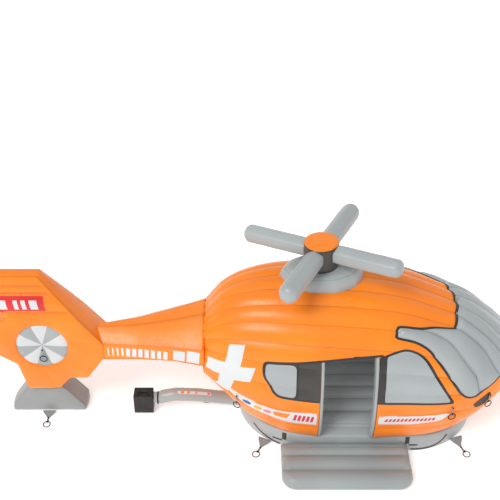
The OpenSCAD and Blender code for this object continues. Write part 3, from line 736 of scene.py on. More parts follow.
def borderEdges(triangles):
    count = {}
    for f in triangles:
        for a, b in ((f[0], f[1]), (f[1], f[2]), (f[2], f[0])):
            count[(a, b)] = count.get((a, b), 0) + 1
    return [(a, b) for (a, b) in count if (b, a) not in count]


shareSeams = sorted({v * hull["girth"] for v in seamShares} | {(1 - v) * hull["girth"] for v in seamShares})


def patchOn(name, outline, place, look, slotName, seams=(), step=0.05, flip=False, sink=0.006):
    # A welded patch: place(u, v, drop) gives its surface, and its rim goes down by sink below it
    flat, triangles, _ = fillPanel(outline, step, list(seams))
    points = [place(float(u), float(v), 0.0) for u, v in flat]
    faces = [(f[0], f[2], f[1]) for f in triangles] if flip else list(triangles)
    sharp = edgesOnSeams(flat, triangles, seams)
    lower = {}
    for a, b in borderEdges(triangles):
        for v in (a, b):
            if v not in lower:
                lower[v] = len(points)
                points.append(place(float(flat[v][0]), float(flat[v][1]), sink))
        faces.append((a, b, lower[b], lower[a]) if flip else (b, a, lower[a], lower[b]))
        sharp.add(tuple(sorted((a, b))))
    return fit(makeMesh(name, points, faces, [look], sharp=sharp, recalc=False), slotName)


def hullPatch(name, outline, look, slotName, lift=0.004, far=False, step=0.05):
    # The outline is in x and share times girth; far puts the patch on the other side
    def place(x, v, drop):
        s = v / hull["girth"]
        return skinPoint(x, 1 - s if far else s, 0.0, lift - drop)
    return patchOn(name, outline, place, look, slotName, shareSeams, step, far, lift + 0.006)


windowShapes = {
    "rearFrame": [(-1.875, 0.2905, 0.10), (-1.885, 0.262, 0.12), (-1.66, 0.2235, 0.14), (-0.868, 0.2225),
                  (-0.868, 0.3035), (-1.30, 0.2965)],
    "rearPillar": [(-1.245, 0.2925, 0.03), (-1.245, 0.2265, 0.03), (-0.870, 0.2260), (-0.870, 0.2995)],
    "rearGlass": [(-1.825, 0.2855, 0.07), (-1.83, 0.262, 0.08), (-1.635, 0.2285, 0.12), (-1.29, 0.2275, 0.09),
                  (-1.285, 0.2905, 0.12)],
    "frontFrame": [(0.152, 0.2245), (1.55, 0.2245, 0.09), (0.95, 0.3310, 0.22), (0.62, 0.3385, 0.12),
                   (0.152, 0.3155)],
    "frontGlass": [(0.275, 0.2290, 0.03), (1.47, 0.2290, 0.07), (0.90, 0.3270, 0.19), (0.62, 0.3335, 0.1),
                   (0.275, 0.3175, 0.06)],
    "eaveFlap": [(-0.872, 0.3025), (-0.30, 0.3125), (-0.30, 0.3190), (-0.872, 0.3190)],
    # Painted shade: a black strip that stands in for the shade under the eave
    "eaveLine": [(-0.875, 0.3015), (-0.30, 0.3115), (0.21, 0.3195)],
}
border = 0.05
# Edge of the grey windscreen field, from the nose back to its rear tip and up to the ridge
screenEdge = [(2.925, 0.285), (2.75, 0.272), (2.40, 0.274), (2.24, 0.256), (2.04, 0.243), (1.93, 0.2345),
              (1.78, 0.236), (1.63, 0.249), (1.44, 0.282), (1.13, 0.329), (0.97, 0.345), (0.76, 0.3535),
              (0.46, 0.357), (0.45, 0.366), (0.47, 0.378), (0.54, 0.3815), (0.86, 0.3850), (1.14, 0.3965),
              (1.46, 0.4060), (1.55, 0.414), (1.59, 0.443), (1.65, 0.478), (1.665, 0.5)]


def flatten(points):
    return [Vector((p[0], p[1] * hull["girth"])) for p in points]


def curved(path, steps=3):
    # Smooth path through flat points
    out = []
    for i in range(len(path) - 1):
        p0, p1, p2, p3 = path[max(i - 1, 0)], path[i], path[i + 1], path[min(i + 2, len(path) - 1)]
        for k in range(steps):
            t = k / steps
            out.append(0.5 * (2 * p1 + (p2 - p0) * t + (2 * p0 - 5 * p1 + 4 * p2 - p3) * t * t
                              + (3 * p1 - p0 - 3 * p2 + p3) * t ** 3))
    return out + [path[-1]]


windowPanels = (("rearWindowFrame", "rearFrame", blackPvc, "pvc_dark", 0.004),
                ("rearWindowPillar", "rearPillar", darkPvc, "pvc_dark", 0.007),
                ("rearWindowGlass", "rearGlass", lightPvc, "pvc_grey", 0.008),
                ("frontWindowFrame", "frontFrame", blackPvc, "pvc_dark", 0.004),
                ("frontWindowGlass", "frontGlass", lightPvc, "pvc_grey", 0.008))
for side, far in (("Near", False), ("Far", True)):
    for name, shape, look, slotName, lift in windowPanels:
        hullPatch(name + side, roundedOutline(windowShapes[shape]), look, slotName, lift, far)
    if not far:
        hullPatch("eaveFlap", roundedOutline(windowShapes["eaveFlap"]), orangePvc, "pvc_orange", 0.004)
        # Painted shade: a black tape strip along the door's top edge stands in for the shade under the eave
        hullPatch("eaveLine", ribbonOutline(flatten(windowShapes["eaveLine"]), 0.035), blackPvc, "pvc_dark", 0.009)

nearEdge = curved(flatten(screenEdge), 3)
wholeEdge = nearEdge + [Vector((p.x, hull["girth"] - p.y)) for p in nearEdge[-2::-1]]
hullPatch("windscreenBorder", ribbonOutline(wholeEdge, border), blackPvc, "pvc_dark", 0.012)
for side, far in (("Near", False), ("Far", True)):
    brow = [p for p in nearEdge if p.x > 2.13]
    hullPatch("noseBand" + side, brow + [Vector((2.13, 2.44)), Vector((2.925, 2.44))], orangePvc, "pvc_orange",
              0.003, far)

# Windscreen panel: five wide tubes a side that curve down from the roof to the nose
screen = {
    "seams": [
        [(0.40, 0.384), (0.91, 0.384), (1.15, 0.381), (1.41, 0.369), (1.65, 0.333), (1.91, 0.287), (2.03, 0.240),
         (3.0, 0.2)],
        [(1.20, 0.412), (1.54, 0.410), (1.80, 0.396), (2.08, 0.364), (2.33, 0.290), (2.42, 0.260), (3.0, 0.2)],
        [(1.40, 0.448), (1.64, 0.446), (2.14, 0.414), (2.36, 0.386), (2.58, 0.330), (2.72, 0.270), (3.0, 0.2)],
        [(1.50, 0.487), (1.70, 0.484), (2.03, 0.476), (2.40, 0.460), (2.66, 0.425), (2.82, 0.360), (2.90, 0.290),
         (3.0, 0.25)],
    ],
    "depth": 0.062,         # how far a wide tube stands out
    "rows": 9,              # rows of points on each tube
    "lift": 0.006,
}
tipIndex = min(range(len(nearEdge)), key=lambda i: nearEdge[i].x)
lowerEdge = sorted((p.x, p.y) for p in nearEdge[:tipIndex + 1])
upperEdge = sorted((p.x, p.y) for p in nearEdge[tipIndex:])
edgeArray = np.array([tuple(p) for p in nearEdge])
seamCurves = [[(p.x, p.y) for p in curved(flatten(row), 5)] for row in screen["seams"]]


def valueAlong(curve, x):
    return float(np.interp(x, [p[0] for p in curve], [p[1] for p in curve]))


def screenColumns():
    fine = [v for v in (p[0] for p in upperEdge) if v > 1.50]
    columns = [0.452, 0.46, 0.475, 0.50] + [0.54 + 0.04 * k for k in range(25)] + fine
    columns += [1.70 + 0.04 * k for k in range(31)] + [2.915, 2.92]
    return sorted({round(v, 4) for v in columns})


def screenHeight(x, v, k, t, width):
    lens = min(width / 0.3, 1.0) * screen["depth"]
    high = screen["lift"] + lens * arch(t)
    high += 0.004 * noise.noise(Vector((x * 5.0, v * 3.0, k * 5.0)))
    fromEdge = float(loopDistance(np.array([[x, v]]), edgeArray)[0]) if x < 2.9 else 0.2
    closing = loopDistance(np.array([[x, v]]), edgeArray[[0, -1]])[0]
    fromEdge = fromEdge if closing > fromEdge + 1e-6 else 0.2
    low = skinHeight(x, v / hull["girth"]) + 0.005
    return blend(low, max(high, low), smoothStep(0.0, 0.10, fromEdge))


def screenGrid():
    # Columns of (flat height, lift, starts at a seam) from the lower edge to the ridge
    grid = []
    for x in screenColumns():
        low = valueAlong(lowerEdge, x)
        high = valueAlong(upperEdge, x) if x < upperEdge[-1][0] else hull["girth"] / 2
        seams = [valueAlong(c, x) for c in seamCurves]
        cuts = [low] + [min(max(v, low), high) for v in seams] + [high]
        # The last tube runs over the ridge to the first seam of the other side
        limits = [low] + seams + [hull["girth"] - seams[-1]]
        column = []
        for k in range(len(limits) - 1):
            width = limits[k + 1] - limits[k]
            for r in range(screen["rows"] + (k == len(seams))):
                v = blend(cuts[k], cuts[k + 1], r / screen["rows"])
                t = min(max((v - limits[k]) / max(width, 1e-6), 0.0), 1.0)
                column.append((round(v, 5), screenHeight(x, v, k, t, width), r == 0 and 0 < k))
        grid.append((x, column))
    return grid


def screenField():
    points, faces, keys, sharp, seamPoints = [], [], {}, set(), set()
    grid = screenGrid()
    for far in (False, True):
        ids = []
        for x, column in grid:
            row = []
            for v, height, seam in column:
                s = v / hull["girth"]
                key = (x, round(1 - s if far else s, 6))
                if key not in keys:
                    keys[key] = len(points)
                    points.append(hullPoint(x, key[1]) + hullNormal(x, key[1]) * height)
                row.append(keys[key])
            ids.append(row)
        for i in range(len(ids) - 1):
            for j in range(len(ids[i]) - 1):
                quad = [ids[i][j], ids[i + 1][j], ids[i + 1][j + 1], ids[i][j + 1]]
                clean = [q for n, q in enumerate(quad) if q != quad[n - 1]]
                if len(clean) > 2:
                    faces.append(tuple(clean[::-1]) if far else tuple(clean))
                if grid[i][1][j][2] and quad[0] != quad[1] and quad[0] != quad[3]:
                    sharp.add(tuple(sorted((quad[0], quad[1]))))
                    seamPoints |= {quad[0], quad[1]}
    # The rim is folded down under the skin
    lower = {}
    allEdges = dict.fromkeys((f[n - 1], a) for f in faces for n, a in enumerate(f))
    position = {i: key for key, i in keys.items()}
    for a, b in [e for e in allEdges if (e[1], e[0]) not in allEdges]:
        for v in (a, b):
            if v not in lower:
                x, s = position[v]
                lower[v] = len(points)
                points.append(hullPoint(x, s) + hullNormal(x, s) * (skinHeight(x, s) - 0.006))
        faces.append((b, a, lower[a], lower[b]))
        sharp.add(tuple(sorted((a, b))))
    return makeMesh("windscreenField", points, faces, [greyPvc], None, sharp, seamPoints, recalc=False)


fit(screenField(), "pvc_grey")
print("panels: windows and windscreen made")

marks = {
    "stripeRear": [(-2.56, 0.2065), (-2.39, 0.186), (-2.17, 0.169), (-1.74, 0.150), (-1.38, 0.122, 0.1),
                   (-0.905, 0.127), (-0.905, 0.2015), (-1.39, 0.2005), (-1.90, 0.2005)],
    "stripeFront": [(0.195, 0.146), (0.78, 0.142), (1.31, 0.158, 0.1), (1.50, 0.198), (1.40, 0.2015),
                    (0.195, 0.2005)],
    "cross": [(-2.51, 0.1850), (-2.38, 0.2320), (-2.10, 0.2400), (-2.00, 0.2740), (-2.27, 0.2690),
              (-2.18, 0.3200), (-2.46, 0.3160), (-2.54, 0.2670), (-2.85, 0.2630), (-2.90, 0.2140),
              (-2.64, 0.2280), (-2.74, 0.1700)],
    "discs": [(-2.16, 0.187, bluePvc, 0.078), (-1.96, 0.180, amberPvc, 0.078), (-1.79, 0.175, rosePvc, 0.075)],
    "swoosh": [(-1.66, 0.1620), (-1.44, 0.1560), (-1.38, 0.1860), (-1.69, 0.1850)],
    # first x, last x, count, lower share, upper share
    "redBars": (-1.33, -0.95, 5, 0.148, 0.186),
    "thinBars": (0.30, 1.22, 13, 0.166, 0.184),
    "barShare": 0.62,       # width of a bar as a share of their pitch
    "barLean": 0.03,
    "flap": [(1.90, 0.2080, 0.03), (1.98, 0.1950, 0.03), (2.10, 0.1900, 0.04), (2.24, 0.2080, 0.04),
             (2.20, 0.2260, 0.05), (2.06, 0.2200, 0.05)],
}
for side, far in (("Near", False), ("Far", True)):
    for markName in ("stripeRear", "stripeFront"):
        hullPatch(markName + side, roundedOutline(marks[markName]), whitePvc, "pvc_white", 0.004, far)
    hullPatch("plainCross" + side, roundedOutline(marks["cross"]), whitePvc, "pvc_white", 0.006, far)
    for k, (x, s, look, radius) in enumerate(marks["discs"]):
        ring = [Vector((x + radius * math.cos(a), s * hull["girth"] + radius * 1.15 * math.sin(a)))
                for a in [2 * math.pi * j / 20 for j in range(20)]]
        hullPatch(f"disc{k + 1}{side}", ring, look, "pvc_white", 0.007, far, 0.04)
    hullPatch("dashBlock" + side, roundedOutline(marks["swoosh"]), orangePvc, "pvc_orange", 0.007, far)
    for label in ("redBars", "thinBars"):
        x0, x1, count, s0, s1 = marks[label]
        pitch = (x1 - x0) / count
        wide, lean = pitch * marks["barShare"], marks["barLean"]
        for k in range(count):
            x = x0 + pitch * k
            bar = flatten([(x, s0), (x + wide, s0), (x + wide + lean, s1), (x + lean, s1)])
            hullPatch(f"{label}{k + 1}{side}", bar, redPvc, "pvc_white", 0.007, far, 0.05)
flap = hullPatch("deflationFlap", roundedOutline(marks["flap"]), blackPvc, "strap_black", 0.012)
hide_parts("deflation_flap")
print("panels: stripes, cross and plain marks made")


# Flat chambers: a sewn outline with round sides
def pillow(name, outline, toSpace, thickness, look, roundness, step, seams, crownOf, rings):
    # toSpace(u, v, w) places a point; w runs from -1 on one face to 1 on the other
    flat, triangles, ring = fillPanel(outline, step, list(seams), rings)
    distance = loopDistance(flat, ring)
    points, faces, sharp = [], [], set()
    n = len(flat)
    for face in (1, -1):
        for (u, v), d in zip(flat, distance):
            t = min(d / roundness, 1.0)
            w = math.sqrt(max(1 - (1 - t) ** 2, 0.0)) if d > 1e-6 else 0.0
            crown = crownOf(float(u), float(v), float(d), face)
            points.append(toSpace(float(u), float(v), face * (w * thickness / 2 + crown)))
    for f in triangles:
        faces.append(f)
        faces.append((f[0] + n, f[2] + n, f[1] + n))
    seamPoints = set()
    for a, b in edgesOnSeams(flat, triangles, seams):
        sharp |= {(a, b), (a + n, b + n)}
        seamPoints |= {a, b, a + n, b + n}
    return makeMesh(name, points, faces, [look], None, sharp, seamPoints)


# Floor mattress: a round-ended base with tubes along the cabin on top
floorLook = {"half": 1.30, "straight": 0.9, "rear": 1.42, "front": 1.32, "height": 0.39, "deck": 0.83,
             "deckRise": 0.05, "tubes": (-1.02, -0.68, -0.34, 0.0, 0.34, 0.68, 1.02)}


def floorOutline(k, count=40):
    loop = []
    for sign, reach in ((1, floorLook["front"]), (-1, floorLook["rear"])):
        for i in range(count + 1):
            a = math.pi * (i / count - 0.5)
            x = floorLook["straight"] + reach * k * math.cos(a)
            loop.append(Vector((sign * x, sign * floorLook["half"] * k * math.sin(a))))
    return loop


# Height and how far the side is drawn in there
baseRows = [(0.0, 0.03), (0.012, 0.008), (0.04, 0.0), (0.13, -0.012), (0.195, -0.015), (0.26, -0.012), (0.35, 0.0),
            (0.378, 0.008), (0.39, 0.03)]
baseLoop = floorOutline(1.0, 48)
points = []
for z, inset in baseRows:
    for p in baseLoop:
        reach = 1 - inset / max(p.length, 0.1)
        points.append(Vector((p.x * reach, p.y * reach, z)))
n = len(baseLoop)
faces = tubeFaces(len(baseRows), n)
# Annulus and deck on top, and the flat underside
inner = floorOutline(floorLook["deck"], 48)
topStart = (len(baseRows) - 1) * n
deckStart = len(points)
points += [Vector((p.x, p.y, 0.395)) for p in inner]
faces += [(topStart + j, topStart + (j + 1) % n, deckStart + (j + 1) % n, deckStart + j) for j in range(n)]
faces.append(tuple(range(n - 1, -1, -1)))
fit(makeMesh("floorBase", points, faces, [greyPvc]), "pvc_grey", "floor_mattress", fill=1.0)


def deckHeight(x, y, d):
    tubes = (-1.3,) + floorLook["tubes"] + (1.3,)
    crown = 0.0
    for a, b in zip(tubes, tubes[1:]):
        if a <= y <= b:
            t = (y - a) / (b - a)
            crown = arch(t)
    return 0.39 + 0.05 * smoothStep(0.0, 0.06, d) + 0.034 * (crown - 0.65) * smoothStep(0.0, 0.15, d)


flat, triangles, ring = fillPanel(inner, 0.075, list(floorLook["tubes"]), (0.02, 0.05))
distance = loopDistance(flat, ring)
points = [Vector((u, v, deckHeight(u, v, d))) for (u, v), d in zip(flat, distance)]
sharp = edgesOnSeams(flat, triangles, floorLook["tubes"])
seamPoints = {v for edge in sharp for v in edge}
fit(makeMesh("floorDeck", points, list(triangles), [greyPvc], None, sharp, seamPoints, recalc=False), "pvc_grey",
    fill=1.0)

# Entrance mat: four tubes side by side, round at the outer corners
mat = {"x0": -1.53, "x1": 0.82, "back": -1.302, "depth": 1.0, "height": 0.28, "corner": 0.26,
       "seams": (-1.40, -1.63, -1.97)}
front = mat["back"] - mat["depth"]
corner = mat["corner"]
matLoop = [Vector((mat["x1"], mat["back"])), Vector((mat["x0"], mat["back"]))]
for cx, start in ((mat["x0"] + corner, math.pi), (mat["x1"] - corner, 1.5 * math.pi)):
    for k in range(11):
        a = start + math.pi / 2 * k / 10
        matLoop.append(Vector((cx + corner * math.cos(a), front + corner + corner * math.sin(a))))


def matCrown(u, v, d, face):
    rows = (mat["back"],) + mat["seams"] + (front,)
    crown, wide = 1.0, 0.3
    for b, a in zip(rows, rows[1:]):
        if a <= v <= b:
            wide = b - a
            t = (v - a) / wide
            crown = arch(t)
    # The front tube is round only towards its seam
    if v < mat["seams"][-1]:
        fromMiddle = (v - mat["seams"][-1] + wide / 2) / (wide / 2)
        crown = max(crown, 1 - fromMiddle ** 2) if v > front + wide / 2 else 1.0
    pull = noise.noise(Vector((u * 5.0, v * 3.0, 2.0))) * 0.005
    if face < 0:
        return -0.01 * (1 - crown)
    return (0.2 * min(wide, 0.3) * (crown - 1.0) + pull) * smoothStep(0.0, 0.1, d) + 0.002


def matPlace(u, v, w):
    return Vector((u, v, max(mat["height"] / 2 + w, 0.0)))


matPiece = pillow("entranceMat", matLoop, matPlace, mat["height"], matPvc, 0.14, 0.05, mat["seams"], matCrown,
                  rings=(0.006, 0.025, 0.06, 0.1))
fit(matPiece, "pvc_grey", "entrance_mat", fill=1.0)
print("floor: mattress and mat made")


def basePlace(lift):
    # x along the mattress and height on its near side
    def place(x, z, drop):
        reach = floorLook["front"] if x > 0 else floorLook["rear"]
        past = max(abs(x) - floorLook["straight"], 0.0) / reach
        y = -floorLook["half"] * math.sqrt(max(1 - past * past, 0.0))
        out = Vector((math.copysign(past, x) * 0.9, y, 0)).normalized()
        bulge = 0.014 * (1 - ((z - 0.195) / 0.195) ** 2) - 0.002
        return Vector((x, y, z)) + out * (bulge + lift - drop)
    return place


skidLines = {
    "runnerRear": ([(-2.02, 0.235), (-1.93, 0.17), (-1.82, 0.115), (-1.68, 0.07), (-1.54, 0.045)], 0.034),
    "barRear": ([(-1.67, 0.165), (-1.50, 0.17)], 0.034),
    "strutRear": ([(-1.46, 0.36), (-1.46, 0.20)], 0.075),
    "strutFront": ([(0.815, 0.36), (0.815, 0.20)], 0.075),
    "barFront": ([(0.85, 0.165), (1.01, 0.165)], 0.034),
    "runnerFront": ([(0.90, 0.045), (1.10, 0.04), (1.30, 0.06), (1.44, 0.115), (1.53, 0.20), (1.57, 0.26)], 0.038),
}
for name, (path, width) in skidLines.items():
    line = curved([Vector(p) for p in path], 3)
    patchOn("skid" + name[0].upper() + name[1:], ribbonOutline(line, width), basePlace(0.004), blackPvc, "pvc_dark",
            step=0.04)


# Blocks sewn from two outlined faces and a band between them
def sewnBlock(name, outline, halfOf, look, step, seams, crownOf, edge=0.03, loops=()):
    # halfOf(u, v) is half the thickness across Y at (x, z); crownOf adds tubes or dents on the faces
    band, rings = 0.03, (0.015, 0.045)
    flat, triangles, ring = fillPanel(outline, step, list(seams), rings, loops)
    distance = loopDistance(flat, ring)
    points, faces, sharp, seamPoints = [], [], set(), set()
    n = len(flat)
    for side in (-1, 1):
        for (u, v), d in zip(flat, distance):
            drop = edge * max(1 - d / 0.10, 0.0) ** 2
            crown = crownOf(float(u), float(v), float(d), side)
            points.append(Vector((u, side * (halfOf(float(u), float(v)) - drop + crown), v)))
    for f in triangles:
        faces.append(f)
        faces.append((f[0] + n, f[2] + n, f[1] + n))
    for a, b in edgesOnSeams(flat, triangles, seams):
        sharp |= {(a, b), (a + n, b + n)}
        seamPoints |= {a, b, a + n, b + n}
    normals = {}
    border = borderEdges(triangles)
    for a, b in border:
        d = flat[b] - flat[a]
        out = np.array((d[1], -d[0])) / max(np.linalg.norm(d), 1e-9)
        for v in (a, b):
            normals[v] = normals.get(v, np.zeros(2)) + out
    rows = 7
    column = {}
    for v, out in normals.items():
        size = np.linalg.norm(out)
        out = out / size * min(1.0, size / 2 + 0.15)
        low, high = points[v], points[v + n]
        ids = [v]
        for k in range(1, rows):
            w = 2 * k / rows - 1
            swell = band * (1 - w * w)
            ids.append(len(points))
            points.append(low.lerp(high, k / rows) + Vector((out[0] * swell, 0, out[1] * swell)))
        column[v] = ids + [v + n]
    for a, b in border:
        for k in range(rows):
            faces.append((column[b][k], column[a][k], column[a][k + 1], column[b][k + 1]))
        sharp |= {tuple(sorted((a, b))), tuple(sorted((a + n, b + n)))}
        seamPoints |= {a, b, a + n, b + n}
    return makeMesh(name, points, faces, [look], None, sharp, seamPoints)


tail = {
    "half": 0.35, "fan": (-5.95, 1.73), "fanRadius": 0.48,
    "outline": [(-4.82, 1.75), (-5.38, 2.50), (-5.89, 3.165), (-7.15, 3.165), (-6.535, 2.355), (-7.05, 1.98),
                (-7.05, 1.68), (-6.47, 1.27), (-6.34, 0.66), (-5.75, 0.66), (-5.52, 0.93), (-5.18, 0.93),
                (-4.83, 1.43)],
    "halfAt": [(1.85, 0.35), (2.30, 0.325), (2.55, 0.27), (3.165, 0.15)],
    "seams": (2.475, 2.84, 3.0),
    "foot": [(-6.74, 0.0), (-6.74, 0.11), (-6.345, 0.66), (-5.745, 0.66), (-5.33, 0.11), (-5.33, 0.0)],
    "footHalf": 0.27,
    "dimple": (-5.27, 1.83),
}


def loopOf(corners):
    # Counter-clockwise outline in x and z
    loop = [Vector(c) for c in corners]
    area = sum(a.x * b.y - b.x * a.y for a, b in zip(loop, loop[1:] + loop[:1]))
    return loop if area > 0 else loop[::-1]


def softCorners(corners, radius):
    loop = loopOf(corners)
    out = []
    for i, p in enumerate(loop):
        d1, d2 = loop[i - 1] - p, loop[(i + 1) % len(loop)] - p
        start = p + d1.normalized() * min(radius, d1.length * 0.45)
        end = p + d2.normalized() * min(radius, d2.length * 0.45)
        for k in range(5):
            t = k / 4
            out.append(start * (1 - t) ** 2 + p * 2 * t * (1 - t) + end * t * t)
    return out


def tailHalf(u, v):
    rows = tail["halfAt"]
    return float(np.interp(v, [r[0] for r in rows], [r[1] for r in rows]))


def tailCrown(u, v, d, side):
    if v >= tail["seams"][0]:
        rows = tail["seams"] + (3.165,)
        for a, b in zip(rows, rows[1:]):
            if a <= v <= b:
                t = (v - a) / (b - a)
                return 0.13 * (b - a) * (arch(t) - 0.75) * smoothStep(0.0, 0.12, d)
        return 0.0
    fromFan = math.hypot(u - tail["fan"][0], v - tail["fan"][1])
    dent = -0.11 * (1 - smoothStep(tail["fanRadius"] - 0.04, tail["fanRadius"] + 0.005, fromFan))
    pullIn = -0.024 * math.exp(-((fromFan - tail["fanRadius"]) / 0.10) ** 2)
    pocket = math.hypot((u - tail["dimple"][0]) / 0.17, (v - tail["dimple"][1]) / 0.085)
    dent -= 0.035 * (1 - smoothStep(0.55, 1.05, pocket))
    swell = 0.04 * smoothStep(0.0, 0.35, min(d, tail["seams"][0] - v))
    fold = -0.02 * math.exp(-((u + 5.95 - 0.25 * (1.25 - v)) / 0.05) ** 2) * (1 - smoothStep(1.0, 1.25, v))
    pull = 0.008 * noise.noise(Vector((u * 4.0, v * 4.0, side * 3.0)))
    return dent + pullIn + swell + fold + pull * smoothStep(0.0, 0.1, d) - 0.012


def circleLoop(middle, r, count=72):
    turns = [2 * math.pi * k / count for k in range(count)]
    return [(middle[0] + r * math.cos(a), middle[1] + r * math.sin(a)) for a in turns]


fanLoops = [circleLoop(tail["fan"], tail["fanRadius"] + past) for past in (-0.035, 0.008)]
tailPiece = sewnBlock("tailRingAndFin", softCorners(tail["outline"], 0.045), tailHalf, orangePvc, 0.05,
                      tail["seams"], tailCrown, edge=0.022, loops=fanLoops)
fit(tailPiece, "pvc_orange", "tail_ring", "tail_fin", fill=1.0)


def finPlace(side, lift):
    loop = np.array([tuple(p) for p in softCorners(tail["outline"], 0.045)])

    def place(u, v, drop):
        d = float(loopDistance(np.array([[u, v]]), loop)[0])
        edgeDrop = 0.022 * max(1 - d / 0.10, 0.0) ** 2
        return Vector((u, side * (tailHalf(u, v) + tailCrown(u, v, d, side) - edgeDrop + lift - drop), v))
    return place


def finRear(v):
    return blend(-6.535, -7.15, (v - 2.355) / 0.81)


finMarks = {"top": 2.80, "bottom": 2.477, "end": -5.79, "barLow": 2.545, "barHigh": 2.73, "lean": 0.03,
            "bars": ((-6.60, 0.13), (-6.34, 0.08), (-6.20, 0.08), (-6.05, 0.14))}
for side, label in ((-1, "Near"), (1, "Far")):
    low, high, end, lean = finMarks["bottom"], finMarks["top"], finMarks["end"], finMarks["lean"]
    shape = [(finRear(low) + lean, low), (end, low), (end - lean, high), (finRear(high) + lean, high)]
    patchOn("finBand" + label, [Vector(p) for p in shape], finPlace(side, 0.004), redPvc, "pvc_white",
            tail["seams"], 0.05, side > 0)
    low, high = finMarks["barLow"], finMarks["barHigh"]
    for k, (x, wide) in enumerate(finMarks["bars"]):
        shape = [(x, low), (x + wide, low), (x + wide - lean, high), (x - lean, high)]
        patchOn(f"finBar{k + 1}{label}", [Vector(p) for p in shape], finPlace(side, 0.008), whitePvc, "pvc_white",
                tail["seams"], 0.05, side > 0)


# Fan discs: ten sewn sectors, pulled in at the middle
def fanDisc(side):
    sectors, parts, radial = 10, 6, 9
    cx, cz = tail["fan"]
    radius = tail["fanRadius"] + 0.004
    points, faces, looks = [], [], []
    count = sectors * parts
    for r in range(1, radial + 1):
        share = r / radial
        for k in range(count):
            t = (k % parts) / parts
            a = math.pi / 2 + (k / parts - 0.5) * 2 * math.pi / sectors
            crown = arch(t) * 0.012 * share
            deep = 0.034 * (1 - share) ** 2
            y = tail["half"] - 0.014 - deep + crown - 0.022 * (share > 0.999)
            reach = radius * share
            points.append(Vector((cx + reach * math.cos(a), side * y, cz + reach * math.sin(a))))
    hubIndex = len(points)
    points.append(Vector((cx, side * (tail["half"] - 0.05), cz)))
    for k in range(count):
        j = (k + 1) % count
        look = (k // parts) % 2
        faces.append((hubIndex, j, k) if side < 0 else (hubIndex, k, j))
        looks.append(look)
        for r in range(radial - 1):
            a, b = r * count, (r + 1) * count
            faces.append((a + k, a + j, b + j, b + k) if side < 0 else (a + j, a + k, b + k, b + j))
            looks.append(look)
    sharp = {(min(r * count + k, (r + 1) * count + k), max(r * count + k, (r + 1) * count + k))
             for r in range(radial - 1) for k in range(0, count, parts)}
    return points, faces, looks, sharp


# Painted shade: a darker copy of the grey PVC for the tail foot, standing in for the shade low by the ground
footShadePvc = coatedFabric("grey PVC tarpaulin, scuffed by the ground", "#979B9B", "#8F9392", 0.42, 0.05)
discLight = coatedFabric("off-white PVC tarpaulin, calendered", "#D9DBDC", "#D0D3D4")
for side, label in ((-1, "Near"), (1, "Far")):
    points, faces, looks, sharp = fanDisc(side)
    disc = makeMesh("fanDisc" + label, points, faces, [discLight, greyPvc], looks, sharp, recalc=False)
    fit(disc, "pvc_white", fill=1.0)
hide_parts("fan_discs")


def footCrown(u, v, d, side):
    pull = noise.noise(Vector((u * 5, v * 5, 9 + side)))
    return 0.035 * smoothStep(0.0, 0.28, d) - 0.012 + 0.006 * pull


def footHalf(u, v):
    return tail["footHalf"]


foot = sewnBlock("tailFoot", softCorners(tail["foot"], 0.04), footHalf, footShadePvc, 0.07, (), footCrown)
# The foot lies flat on the ground
for vertex in foot.data.vertices:
    vertex.co.z = max(vertex.co.z, 0.0)
fit(foot, "pvc_grey", "tail_foot", fill=1.0)
print("tail: ring, fin, discs and foot made")

# Tail boom: eight panels, each a little crowned
boom = {
    "stations": [
        (-5.10, 0.25, 1.33, 1.74, 0.10, 1.22, 0.05, 1.93), (-4.20, 0.42, 1.49, 1.84, 0.19, 1.29, 0.11, 2.06),
        (-3.50, 0.60, 1.60, 1.94, 0.26, 1.37, 0.18, 2.235), (-2.992, 0.73, 1.60, 1.99, 0.30, 1.38, 0.23, 2.385),
        (-2.93, 0.75, 1.60, 2.00, 0.31, 1.38, 0.235, 2.40),
    ],
    "panelParts": 6, "crown": 0.035, "middle": 1.7,
}


def boomAt(x):
    rows = boom["stations"]
    i = 0
    while i < len(rows) - 2 and x >= rows[i + 1][0]:
        i += 1
    a, b = rows[i], rows[i + 1]
    t = (x - a[0]) / (b[0] - a[0])
    return [blend(a[c], b[c], t) for c in range(1, 8)]


def boomCorners(x):
    w, sideLow, sideHigh, keelHalf, keel, topHalf, top = boomAt(x)
    near = [(-keelHalf, keel), (-w, sideLow), (-w, sideHigh), (-topHalf, top)]
    return near + [(-y, z) for y, z in near[::-1]]


points, sharp, seamPoints = [], set(), set()
columns = [blend(-5.06, -2.93, i / 40) for i in range(41)]
perRing = 8 * boom["panelParts"]
for x in columns:
    corners = [Vector(c) for c in boomCorners(x)]
    for k in range(8):
        a, b = corners[k], corners[(k + 1) % 8]
        d = b - a
        # out of the boom, whose middle lies 1.7 m up
        inward = -d.y * (a.x + b.x) + d.x * (a.y + b.y - 2 * boom["middle"]) < 0
        out = Vector((-d.y, d.x)).normalized() * (-1 if inward else 1)
        for j in range(boom["panelParts"]):
            t = j / boom["panelParts"]
            swell = boom["crown"] * d.length * (arch(t) - 0.35)
            pull = 0.004 * noise.noise(Vector((x * 4, k * 3.1, t * 2)))
            p = a.lerp(b, t) + out * (swell + pull)
            points.append(Vector((x, p.x, p.y)))
faces = tubeFaces(len(columns), perRing) + endFaces(len(columns), perRing)
for i in range(len(columns) - 1):
    for j in range(0, perRing, boom["panelParts"]):
        sharp.add((i * perRing + j, (i + 1) * perRing + j))
        seamPoints |= {i * perRing + j, (i + 1) * perRing + j}
fit(makeMesh("tailBoom", points, faces, [orangePvc], None, sharp, seamPoints), "pvc_orange", "tail_boom", fill=1.0)


def boomPlace(side, lift):
    def place(x, z, drop):
        w, low, high = boomAt(x)[:3]
        t = min(max((z - low) / (high - low), 0.0), 1.0)
        swell = boom["crown"] * (high - low) * (arch(t) - 0.35)
        return Vector((x, side * (w + swell + 0.003 + lift - drop), z))
    return place


